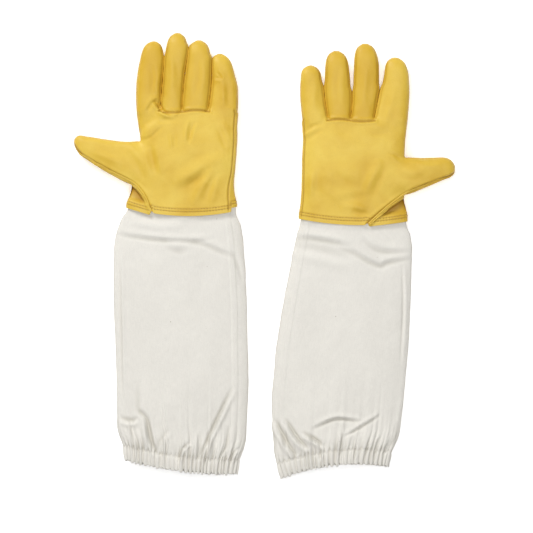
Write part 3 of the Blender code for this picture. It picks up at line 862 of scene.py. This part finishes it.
    def split(self, leather):
        """Makes the pieces for the hand, the fingers and the thumb, which share their borders."""
        centres = self.points[self.quads].mean(axis=1)
        out = (centres - self.thumb_root) @ self.thumb_out
        beside = (centres[:, 1] > self.thumb_low_y - 0.001) & (centres[:, 1] < self.thumb_high_y + 0.0015)
        is_thumb = (out > 0.0005) & beside
        is_thumb |= (out > 0.012) & (centres[:, 1] > self.thumb_low_y - 0.001) \
            & (centres[:, 1] < self.knuckle_y - 0.02)
        start_y = self.knuckle_y + 0.002
        nearest = self.nearest_finger(centres)
        is_finger = (centres[:, 1] > start_y) & ~is_thumb
        for index, name in enumerate(FINGERS):
            piece = self.piece(f"{name}_leather", is_finger & (nearest == index), leather)
            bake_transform(piece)
            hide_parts(*self.finger_nodes(name))
        thumb = self.piece("thumb_leather", is_thumb, leather)
        self.thumb_bend(thumb)
        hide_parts(f"{self.side}_thumb_front", f"{self.side}_thumb_back")
        hand = self.piece("hand_leather", ~is_finger & ~is_thumb, leather, rim=True)
        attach(hand, f"{self.side}_hand")
        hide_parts(f"{self.side}_palm", f"{self.side}_back")

    def thumb_bend(self, piece):
        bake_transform(piece)

    def piece(self, name, keep, material, rim=False):
        used, quads = part_of(self.points, self.quads, keep)
        points, normals, seam, tan_and_shade = (data[used] for data in (self.points, self.normals, self.seam, self.tan_and_shade))
        if rim:
            points, quads, normals, seam = self.add_rim(points, quads, normals, seam)
            tan_and_shade = np.concatenate([tan_and_shade, np.zeros(len(points) - len(tan_and_shade))])
        return add_piece(f"{self.side}_{name}", material, points, quads, normals, {"seam": seam, "tan_and_shade": tan_and_shade})

    def add_rim(self, points, quads, normals, seam):
        """The cut edge of the leather at the hem, and a strip of its inner side."""
        edges = self.open_edges(quads)
        near_hem = points[:, 1] < self.hem_line(points[:, 0]) + 0.0075
        edges = edges[near_hem[edges].all(axis=1)]
        rim = np.unique(edges)
        first, second = len(points), len(points) + len(rim)
        place = np.full(len(points), -1)
        place[rim] = np.arange(len(rim))
        flat = unit(normals[rim] * [1, 0, 1])
        inner = points[rim] - flat * LEATHER
        deep = inner - flat * 1.5 * MM + [0, 0.007, 0]
        a, b = edges[:, 0], edges[:, 1]
        faces = [quads, np.stack([b, a, first + place[a], first + place[b]], axis=1),
                 np.stack([first + place[b], first + place[a],
                           second + place[a], second + place[b]], axis=1)]
        turned = np.tile([0.0, -1.0, 0.0], (len(rim), 1))
        # Painted shade at the cuff's opening: the cut edge gets half the seam colour and the inner strip all
        # of it.
        return (np.concatenate([points, inner, deep]), np.concatenate(faces),
                np.concatenate([normals, turned, -flat]),
                np.concatenate([seam, np.full(len(rim), 0.5), np.full(len(rim), 1.0)]))

    def snap(self, path):
        """Moves a path onto the leather's surface; returns its points and the surface normals."""
        places, normals = [], []
        for point in path:
            place, normal, _, _ = self.surface.find_nearest(Vector(point))
            places.append(np.array(place))
            normals.append(np.array(normal))
        return np.array(places), np.array(normals)


def sweep(path, normals, radius, sides, scale=None):
    """A tube along a path on a surface, closed and narrowed at both ends, as points and faces."""
    along = unit(np.gradient(path, axis=0))
    side = unit(np.cross(along, normals))
    up = np.cross(side, along)
    angles = np.linspace(0, 2 * math.pi, sides, endpoint=False)
    scale = np.ones(len(path)) if scale is None else scale
    scale[0] = scale[-1] = 0.35
    rings = [centre + size * radius * (math.cos(turn) * across + math.sin(turn) * rise)
             for centre, across, rise, size in zip(path, side, up, scale) for turn in angles]
    walls = np.roll(grid_quads(len(path), sides)[:, ::-1], 1, axis=1)
    caps = []
    for ring, order in ((0, -1), ((len(path) - 1) * sides, 1)):
        for column in range(1, sides - 2, 2):
            caps.append([ring, ring + column, ring + column + 1, ring + column + 2][::order])
    return np.array(rings), np.concatenate([walls, caps])


def stitch_row(name, path, normals, material, pitch=3.3 * MM, gap=0.9 * MM, radius=THREAD):
    """Separate stitches along a path, each a short thread that dives into the material at both ends."""
    lengths = lengths_along(path)
    stitches = []
    for index in range(int(lengths[-1] / pitch)):
        places = np.linspace(index * pitch + gap / 2, (index + 1) * pitch - gap / 2, len(STITCH_ARC))
        normal = read_at(normals, lengths, places)
        centre = read_at(path, lengths, places) + normal * radius * STITCH_ARC[:, None]
        stitches.append(sweep(centre, normal, radius, 6))
    return add_piece(name, material, *joined(stitches))


# ---------------------------------------------------------------- the canvas gauntlet

class Gauntlet:
    """The canvas tube from its gathered elastic hem to inside the leather cuff."""

    CASING = 16 * MM             # height of the elastic casing
    TURN_IN = 2.2 * MM           # how far the turned-in layer lies inside the outer one
    PLEATS = 58                  # pleats round the gathered hem
    PLEAT_DEPTH = 1.9 * MM
    POWERS = (2.0, 2.6)          # squareness of the tube's section, across and up
    SEMI_AXES = (75, 9)          # of a middling section in mm, used to space the columns evenly
    SEAM_PLACE = {"left": 0.80, "right": -0.86}      # of the lengthwise seam, in half widths

    def __init__(self, hand):
        self.side = hand.side
        self.hand = hand
        self.columns = 400
        self.rows = 225
        self.read()

    def read(self):
        """The hem and a smoothed table of sections, from the CAD."""
        points = node_triangles([f"{self.side}_gauntlet"]).reshape(-1, 3)
        low = points[points[:, 1] < points[:, 1].min() + 0.028]
        self.hem_left = low[np.argmin(low[:, 0] + low[:, 1] * 0.6)]
        self.hem_right = low[np.argmax(low[:, 0] - low[:, 1] * 0.6)]
        middle_x = (self.hem_left[0] + self.hem_right[0]) / 2
        middle = points[np.abs(points[:, 0] - middle_x) < 0.006]
        self.hem_bow = middle[:, 1].min() - (self.hem_left[1] + self.hem_right[1]) / 2
        triangles = node_triangles([f"{self.side}_gauntlet", f"{self.side}_gauntlet_top"])
        along, across = np.array([0.0, 1, 0]), np.array([1.0, 0, 0])
        last = min(self.hand.hem_ends[0][1], self.hand.hem_ends[1][1]) - 0.009
        self.ys = np.arange(min(self.hem_left[1], self.hem_right[1]) + 0.002, last, 0.002)
        table = np.array([slice_extent(triangles, along, across, y) for y in self.ys])
        for edge, corner in ((0, self.hem_left), (1, self.hem_right)):
            whole = self.ys > corner[1] + 0.0015        # the cut goes all round above the hem
            table[~whole, edge] = table[whole, edge][0]
        deep = self.ys < max(self.hem_left[1], self.hem_right[1]) + 0.002
        table[deep, 2:] = table[~deep, 2:][0]
        edges = smooth_rows(table[:, :2].copy(), 8)
        self.table = smooth_rows(table, 30)
        self.table[:, :2] = edges

    def hem_y(self, share):
        """y of the hem's lower edge; share runs from -1 at the left to 1 at the right."""
        chord = self.hem_left[1] + (self.hem_right[1] - self.hem_left[1]) * (share + 1) / 2
        return chord + self.hem_bow * (1 - share ** 2)

    def section(self, y):
        low, high, bottom, top = [np.interp(y, self.ys, self.table[:, column]) for column in range(4)]
        return (low + high) / 2, (high - low) / 2, (bottom + top) / 2, (top - bottom) / 2

    def lay_rows(self, cx, cz, bottom_y, top_y):
        """Rows of points from the top of the turned-in layer, round the hem and up to the cuff.

        Returns the points and, for each, its height above the hem.
        """
        inner = np.linspace(self.CASING * 0.94, 0.0012, 10)
        rows = [(self.ring(bottom_y + rise, cx, cz, self.TURN_IN), rise) for rise in inner]
        rows.append((self.ring(bottom_y + 0.0002, cx, cz, self.TURN_IN * 0.5), 0.0))
        self.inner_rows = len(rows)
        start = bottom_y + 0.0005
        for rise in np.linspace(0.0, self.CASING * 2.2, self.rows // 3):
            rows.append((self.ring(start + rise, cx, cz, 0.0), rise))
        start = start + self.CASING * 2.2
        for share in np.linspace(0, 1, self.rows - self.rows // 3)[1:]:
            y = start + (top_y - start) * share
            rows.append((self.ring(y, cx, cz, 0.0), y - bottom_y))
        above = [np.broadcast_to(rise, self.columns) for _, rise in rows]
        return np.concatenate([points for points, _ in rows]), np.array(above)

    def build(self, canvas):
        cx, cz = superellipse(np.linspace(0, 2 * math.pi, 4000), *self.POWERS)
        length = lengths_along(np.stack([cx, cz], axis=1) * self.SEMI_AXES)
        places = np.linspace(0, length[-1], self.columns, endpoint=False)
        cx, cz = np.interp(places, length, cx), np.interp(places, length, cz)
        girth = length[-1] * MM
        around = places / length[-1]
        edge_pleats, broad = self.gathers(around, np.zeros((1, self.columns)))
        low_end, high_end = self.hand.hem_ends
        top_y = self.hand.hem_line(low_end[0] * (1 - cx) / 2 + high_end[0] * (1 + cx) / 2) + CUFF_OVERLAP
        bottom_y = self.hem_y(cx) - self.PLEAT_DEPTH * edge_pleats[0]
        points, above = self.lay_rows(cx, cz, bottom_y, top_y)
        quads = grid_quads(len(above), self.columns)
        normals = vertex_normals(points, quads)
        outward = np.ones((len(above), self.columns))
        outward[:self.inner_rows] = -1
        pleats, _ = self.gathers(around, above)
        moved, hollow = self.displace(points, normals, above, pleats, broad)
        points = above_floor(points + normals * (moved * outward.ravel())[:, None])
        normals = vertex_normals(points, quads)
        coordinates = np.stack([np.broadcast_to(around * girth, above.shape), above,
                                np.zeros_like(above)], axis=-1).reshape(-1, 3)
        outline = 1 - ease(np.abs(normals[:, 2]), 0.25, 0.85)
        shade = np.max([0.22 * np.exp(-((above.ravel() - self.CASING) / (1.0 * MM)) ** 2),
                        ease(-hollow, 0.2 * MM, 2.2 * MM), 0.62 * ease(-pleats.ravel(), 0.2, 0.9),
                        0.6 * outline], axis=0)
        piece = add_piece(f"{self.side}_canvas_gauntlet", canvas, points, quads, None, {"shade": shade},
                          coordinates)
        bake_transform(piece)
        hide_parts(f"{self.side}_gauntlet", f"{self.side}_gauntlet_top")
        self.piece = piece
        self.points = points.reshape(*above.shape, 3)
        self.normals = normals.reshape(*above.shape, 3)

    def ring(self, y, cx, cz, inset):
        """One row round the tube; near the cuff it closes in to fit inside the leather."""
        middle, half, level, height = self.section(y)
        x = middle + (half - inset) * cx
        z = level + (height - inset) * cz
        palm = self.hand.palm
        hem = self.hand.hem_line(x)
        low, high, bottom, top = palm.at(np.maximum(y, palm.places[0]))
        wall = LEATHER + 0.7 * MM
        fitted_x = (low + high) / 2 + ((high - low) / 2 - wall) * cx
        fitted_z = (bottom + top) / 2 + ((top - bottom) / 2 - wall) * cz
        x = x + (fitted_x - x) * ease(y, hem - 0.016, hem - 0.001)
        z = z + (fitted_z - z) * ease(y, hem - 0.007, hem - 0.001)
        return np.stack([x, y, z], axis=1)

    def gathers(self, around, above):
        """Two waves on the tube: the sharp pleats of the elastic hem, and broader ones above them."""
        seed = 3 if self.side == "left" else 9
        chance = np.random.default_rng(seed)
        widths = chance.uniform(0.55, 1.45, self.PLEATS)
        heights = chance.uniform(0.45, 1.25, self.PLEATS)
        reaches = chance.uniform(3.0, 15.0, self.PLEATS) * MM
        starts = np.concatenate(([0.0], np.cumsum(widths) / widths.sum()))
        circle = np.stack([np.cos(around * 2 * math.pi), np.sin(around * 2 * math.pi),
                           np.zeros(len(around))], axis=1)
        lean = bumps(circle, 0.16, seed + 2)
        turn = (around + 0.0055 * lean * above / self.CASING) % 1.0
        phase = np.interp(turn, starts, np.arange(self.PLEATS + 1.0))
        number = np.minimum(phase.astype(int), self.PLEATS - 1)
        ridge = np.abs(np.sin(math.pi * phase)) ** 0.75
        centres = (starts[:-1] + starts[1:]) / 2
        height = np.interp(turn, centres, heights, period=1.0)
        fade = np.exp(-np.maximum(above - self.CASING, 0.0) / reaches[number])
        pleats = height * (1.9 * ridge - 1.15) * fade
        drift = bumps(circle, 0.35, seed) * 1.6
        broad = np.zeros(len(around))
        for count, weight in ((23, 1.0), (14, 0.8)):
            broad += weight * np.sin(2 * math.pi * count * around + drift * 5 + 2 * count)
        return pleats, broad

    def displace(self, flat, normals, above, pleats, broad):
        """How far each point stands off the plain tube: gathers, folds, seam and slack.

        Returns that and the folds alone.
        """
        seed = 5 if self.side == "left" else 11
        over = above - self.CASING - 0.9 * MM * broad
        share = above / self.CASING
        sharp = 0.6 + 0.4 * np.minimum(share, 1.0)
        fan = np.where(over < 0, 0.6 * share, np.exp(-over / 0.026))
        bulge = np.where(over < 0, np.sin(np.clip(share, 0, 1) * math.pi), 0)
        pinch = np.exp(-(over / 0.0017) ** 2)
        puff = np.where(over > 0, np.exp(-((over - 0.012) / 0.010) ** 2), 0)
        moved = self.PLEAT_DEPTH * pleats * sharp
        moved += MM * (1.1 * broad * fan + 0.8 * bulge - 0.5 * pinch + 1.3 * puff)
        moved = moved.ravel()
        slack = ease(above.ravel(), 0.02, 0.07)
        stretched = flat * [1.0, 0.35, 1.0]
        moved += slack * 1.3 * MM * bumps(stretched, 0.045, seed)
        moved += slack * 0.30 * MM * bumps(flat, 0.014, seed + 1)
        upper = ease(normals[:, 2], 0.0, 0.3)
        upper[:self.inner_rows * self.columns] = 0          # the turned-in layer has no folds
        folds = upper * 1.7 * fold_height(flat, CANVAS_FOLDS[self.side])
        return moved + folds + upper * self.seam(flat), folds

    def seam(self, flat):
        """The felled lengthwise seam: a raised strip with a line along one edge."""
        middle, half, _, _ = self.section(flat[:, 1])
        gap = flat[:, 0] - middle - half * self.SEAM_PLACE[self.side]
        strip = ease(gap, -0.0040, -0.0030) * (1 - ease(gap, 0.0030, 0.0040))
        return 0.55 * MM * strip - 0.45 * MM * np.exp(-(np.abs(gap + 0.003) / 0.0007) ** 2)

    def row_heights(self):
        """Mean height above the hem of each row of the outer layer."""
        return (self.points[self.inner_rows:, :, 1] - self.points[self.inner_rows, :, 1]).mean(axis=1)

    def casing_row(self):
        """The closed row of points, and of normals, at the top of the elastic casing."""
        row = self.inner_rows + int(np.argmin(np.abs(self.row_heights() - self.CASING)))
        return [np.concatenate([rows[row], rows[row][:1]]) for rows in (self.points, self.normals)]


# ---------------------------------------------------------------- materials

WHITE = (1.0, 1.0, 1.0)
WEAVE_SCALE = 0.314159 / THREAD_PITCH    # Blender's wave texture has a period of 0.314 / scale


def shader_material(name, **settings):
    """A material with values set on its shader's own sockets, its shader, and a way to add nodes."""
    material = bpy.data.materials.new(name)
    material.use_nodes = True
    shader = material.node_tree.nodes["Principled BSDF"]
    for key, value in settings.items():
        shader.inputs[key.replace("_", " ")].default_value = value
    return material, shader, Nodes(material.node_tree)


class Nodes:
    """Short ways to add shader nodes to a tree."""

    def __init__(self, tree):
        self.tree = tree

    def add(self, kind, **settings):
        node = self.tree.nodes.new(kind)
        for key, value in settings.items():
            setattr(node, key, value)
        return node

    def link(self, source, target):
        self.tree.links.new(source, target)

    def feed(self, socket, value):
        """Sets a socket to a number or a colour, or links another node's output to it."""
        if isinstance(value, (int, float)):
            socket.default_value = value
        elif isinstance(value, tuple):
            socket.default_value = (*value, 1.0)
        else:
            self.link(value, socket)

    def rest(self):
        return self.add("ShaderNodeAttribute", attribute_name="rest").outputs["Vector"]

    def value(self, name):
        return self.add("ShaderNodeAttribute", attribute_name=name).outputs["Fac"]

    def noise(self, vector, scale, detail=3.0, roughness=0.5):
        node = self.add("ShaderNodeTexNoise")
        node.inputs["Scale"].default_value = scale
        node.inputs["Detail"].default_value = detail
        node.inputs["Roughness"].default_value = roughness
        self.link(vector, node.inputs["Vector"])
        return node.outputs["Fac"]

    def scaled(self, vector, scale):
        node = self.add("ShaderNodeVectorMath", operation="MULTIPLY")
        node.inputs[1].default_value = scale
        self.link(vector, node.inputs[0])
        return node.outputs["Vector"]

    def ramp(self, source, *stops):
        node = self.add("ShaderNodeValToRGB")
        elements = node.color_ramp.elements
        while len(elements) < len(stops):
            elements.new(0.5)
        for element, (place, colour) in zip(elements, stops):
            element.position = place
            element.color = (*colour, 1.0)
        self.link(source, node.inputs["Fac"])
        return node.outputs["Color"]

    def math(self, operation, first, second):
        node = self.add("ShaderNodeMath", operation=operation)
        self.feed(node.inputs[0], first)
        self.feed(node.inputs[1], second)
        return node.outputs["Value"]

    def mix(self, factor, first, second, blend="MIX"):
        node = self.add("ShaderNodeMix", data_type="RGBA", blend_type=blend)
        self.feed(node.inputs[0], factor)
        self.feed(node.inputs[6], first)
        self.feed(node.inputs[7], second)
        return node.outputs[2]

    def bump(self, height, strength, distance):
        node = self.add("ShaderNodeBump")
        node.inputs["Strength"].default_value = strength
        node.inputs["Distance"].default_value = distance
        self.link(height, node.inputs["Height"])
        return node.outputs["Normal"]


def leather_material(name, light, base, dark, seam_and_shade_colour):
    """Soft grain leather: drifting tone, fine grain, darker seams, satin sheen; the seam colour and the dark
    colour also paint shade into grooves, creases, the sides, below the thumb seam and inside the cuff.
    """
    material, shader, make = shader_material(name, Sheen_Weight=0.02, Sheen_Roughness=0.5,
                                             Specular_IOR_Level=0.35)
    rest = make.rest()
    drift = make.noise(rest, 26.0, 3.0)
    blotch = make.noise(rest, 90.0, 4.0, 0.6)
    tone = make.ramp(drift, (0.22, dark), (0.48, base), (0.70, light))
    tone = make.mix(make.math("MULTIPLY", blotch, 0.35), tone, base)
    grain = make.add("ShaderNodeTexVoronoi", feature="DISTANCE_TO_EDGE")
    grain.inputs["Scale"].default_value = 900.0
    make.link(rest, grain.inputs["Vector"])
    pores = make.noise(rest, 1500.0, 2.0)
    speck = make.ramp(pores, (0.30, (0.90, 0.90, 0.90)), (0.55, WHITE))
    tone = make.mix(0.7, tone, speck, "MULTIPLY")
    # Deeper, darker tone: the finger panels' own tone, plus painted shade in fold valleys and on the steep
    # sides.
    tone = make.mix(make.math("MULTIPLY", make.value("tan_and_shade"), 0.55), tone, dark)
    # Seam colour: the seams' own darker colour, and painted shade in grooves, below the thumb seam, on the
    # steep sides and inside the cuff.
    tone = make.mix(make.math("MULTIPLY", make.value("seam"), 0.90), tone, seam_and_shade_colour)
    make.link(tone, shader.inputs["Base Color"])
    rough = make.math("ADD", make.math("MULTIPLY", blotch, 0.22), 0.36)
    make.link(rough, shader.inputs["Roughness"])
    height = make.math("ADD", make.math("MULTIPLY", grain.outputs["Distance"], 0.8),
                       make.math("MULTIPLY", make.noise(rest, 420.0, 3.0), 0.6))
    make.link(make.bump(height, 0.30, 0.0004), shader.inputs["Normal"])
    return material


def canvas_material(name, base, shadow, fleck):
    """Undyed plain-weave canvas: fine crossing threads, faint slubs, a few seed flecks, and painted shade in
    the folds and gathers, along the casing and at the outline.
    """
    material, shader, make = shader_material(name, Sheen_Weight=0.05, Sheen_Roughness=0.6,
                                             Specular_IOR_Level=0.2)
    rest = make.rest()
    lighter = tuple(min(1.0, part * 1.05) for part in base)
    darker = tuple(part * 0.93 for part in base)
    waves = []
    for direction in ("X", "Y"):
        wave = make.add("ShaderNodeTexWave", wave_type="BANDS", bands_direction=direction)
        wave.inputs["Scale"].default_value = WEAVE_SCALE
        wave.inputs["Distortion"].default_value = 0.5
        wave.inputs["Detail"].default_value = 1.0
        wave.inputs["Detail Scale"].default_value = 2.0
        make.link(rest, wave.inputs["Vector"])
        waves.append(wave.outputs["Fac"])
    weave = make.math("MAXIMUM", waves[0], waves[1])
    along = make.noise(make.scaled(rest, (1.0, 0.12, 1.0)), 1100.0, 2.0)
    across = make.noise(make.scaled(rest, (0.12, 1.0, 1.0)), 1100.0, 2.0)
    slub = make.math("MULTIPLY", make.math("ADD", along, across), 0.5)
    tone = make.ramp(slub, (0.38, darker), (0.52, base), (0.64, lighter))
    tone = make.mix(0.45, tone, make.ramp(make.noise(rest, 20.0, 3.0, 0.6), (0.34, darker), (0.62, base)))
    gaps = make.ramp(weave, (0.1, (0.72, 0.71, 0.68)), (0.7, WHITE))
    tone = make.mix(0.14, tone, gaps, "MULTIPLY")
    spots = make.ramp(make.noise(rest, 230.0, 1.0), (0.800, (0.0, 0.0, 0.0)), (0.825, WHITE))
    tone = make.mix(make.math("MULTIPLY", spots, 0.7), tone, fleck)
    tone = make.mix(make.math("MULTIPLY", make.value("shade"), 0.68), tone, shadow)
    make.link(tone, shader.inputs["Base Color"])
    height = make.math("ADD", make.math("MULTIPLY", weave, 0.5), make.math("MULTIPLY", slub, 0.5))
    make.link(make.bump(height, 0.35, 0.0003), shader.inputs["Normal"])
    rough = make.math("ADD", make.math("MULTIPLY", weave, -0.08), 0.94)
    make.link(rough, shader.inputs["Roughness"])
    return material


def thread_material(name, base, dark):
    """Twisted thread."""
    material, shader, make = shader_material(name, Roughness=0.65)
    twist = make.noise(make.rest(), 2600.0, 2.0)
    make.link(make.ramp(twist, (0.35, dark), (0.6, base)), shader.inputs["Base Color"])
    make.link(make.bump(twist, 0.4, 0.0002), shader.inputs["Normal"])
    return material


# ---------------------------------------------------------------- camera, floor and light

def set_camera():
    """Straight down on the pair, with a long lens, as in a catalogue picture."""
    data = bpy.data.cameras.new("camera")
    data.sensor_width = SENSOR
    data.lens = SENSOR * CAMERA_HEIGHT / VIEW_WIDTH
    data.clip_end = 50.0
    camera = new_object("camera", data)
    camera.location = (*VIEW_CENTRE, CAMERA_HEIGHT)
    bpy.context.scene.camera = camera


def set_floor():
    bpy.ops.mesh.primitive_plane_add(size=12.0, location=(0, 0, -0.0004))
    floor = bpy.context.object
    floor.name = "floor"
    material = shader_material("floor_white", Roughness=0.9, Base_Color=(0.95, 0.95, 0.95, 1.0),
                               Specular_IOR_Level=0.0, Emission_Color=(*WHITE, 1.0),
                               Emission_Strength=0.36)[0]
    floor.data.materials.append(material)


def set_light():
    world = bpy.data.worlds.new("studio")
    bpy.context.scene.world = world
    world.use_nodes = True
    background = world.node_tree.nodes["Background"]
    background.inputs["Color"].default_value = (*WHITE, 1.0)
    background.inputs["Strength"].default_value = 0.14
    for name, place, size, power in (("key", (-1.3, 2.1, 1.8), 0.9, 52.0),
                                     ("top", (0.15, 0.1, 2.6), 2.2, 44.0),
                                     ("front", (0.5, -2.0, 2.0), 1.6, 9.0)):
        data = bpy.data.lights.new(name, "AREA")
        data.size = size
        data.energy = power
        light = new_object(name, data)
        light.location = place
        light.rotation_euler = (-Vector(place)).to_track_quat("-Z", "Y").to_euler()
    view = bpy.context.scene.view_settings
    view.view_transform = "Standard"
    view.look = "None"
    view.exposure = 0.0


# ---------------------------------------------------------------- putting it together

def add_welt(hand, material):
    """The double bead of the welted thumb seam."""
    places, normals = (smooth_rows(rows, 6) for rows in hand.snap(resample(hand.welt_path, 0.9 * MM)))
    side = np.cross(unit(np.gradient(places, axis=0)), unit(normals))
    outward = -hand.thumb_sign * side
    beads = []
    for shift, size in WELT_BEADS:
        bead = hand.snap((places + outward * shift * MM)[WELT_START:])
        centre, up = (smooth_rows(rows, 14) for rows in bead)
        up = unit(up)
        taper = np.minimum(1.0, 0.3 + np.arange(len(centre)) / 12.0)
        beads.append(sweep(centre + up * WELT_LIFT, up, size * MM, 8, taper))
    points, quads = joined(beads)
    piece = add_piece(f"{hand.side}_thumb_seam_welt", material, points, quads, None,
                      {"seam": np.full(len(points), 0.05), "tan_and_shade": np.zeros(len(points))})
    hand.thumb_bend(piece)
    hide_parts(f"{hand.side}_thumb_welt")


def add_cuff_stitches(hand, material):
    for label, rise in CUFF_ROWS.items():
        places, normals = hand.snap(resample(hand.cuff_line(rise), 0.8 * MM))
        piece = stitch_row(f"{hand.side}_cuff_stitches_{label}", places, normals, material)
        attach(piece, f"{hand.side}_hand")
        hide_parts(f"{hand.side}_cuff_stitch_{label}")


def add_canvas_stitches(gauntlet, material):
    side = gauntlet.side
    ring, normals = gauntlet.casing_row()
    piece = stitch_row(f"{side}_casing_stitches", ring, normals, material, radius=0.28 * MM)
    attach(piece, f"{side}_sleeve")
    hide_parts(f"{side}_casing_stitch")


def add_elastic(gauntlet, material):
    """The flat elastic inside the casing, gathered with the canvas."""
    side = gauntlet.side
    heights = gauntlet.row_heights()
    low, high = ELASTIC_RISE
    chosen = gauntlet.inner_rows + ((heights > low) & (heights < high)).nonzero()[0]
    points = np.concatenate([gauntlet.points[rows] - gauntlet.normals[rows] * depth
                             for depth, rows in zip(ELASTIC_FACES, (chosen, chosen[::-1]))])
    quads = grid_quads(*points.shape[:2], closed=True)
    piece = add_piece(f"{side}_hem_elastic", material, above_floor(points.reshape(-1, 3)), quads)
    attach(piece, f"{side}_sleeve")
    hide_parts(f"{side}_elastic_band")


def main():
    # The dark colour serves for drifting tone and for painted shade in creases and on the sides; the last
    # colour is the seams' own and also painted shade.
    leather = leather_material("yellow_leather", (0.79, 0.570, 0.088), (0.725, 0.490, 0.060),
                               (0.60, 0.355, 0.018), (0.30, 0.125, 0.004))
    canvas = canvas_material("cotton_canvas", (0.79, 0.765, 0.705), (0.50, 0.475, 0.41),
                             (0.20, 0.15, 0.09))
    yellow_thread = thread_material("yellow_thread", (0.58, 0.35, 0.05), (0.36, 0.20, 0.03))
    white_thread = thread_material("white_thread", (0.80, 0.78, 0.72), (0.60, 0.57, 0.50))
    elastic = thread_material("elastic_band", (0.82, 0.82, 0.80), (0.66, 0.66, 0.64))
    for side in SIDES:
        hand = Hand(side)
        hand.split(leather)
        add_welt(hand, leather)
        add_cuff_stitches(hand, yellow_thread)
        gauntlet = Gauntlet(hand)
        gauntlet.build(canvas)
        add_canvas_stitches(gauntlet, white_thread)
        add_elastic(gauntlet, elastic)
    set_floor()
    set_light()
    set_camera()


main()
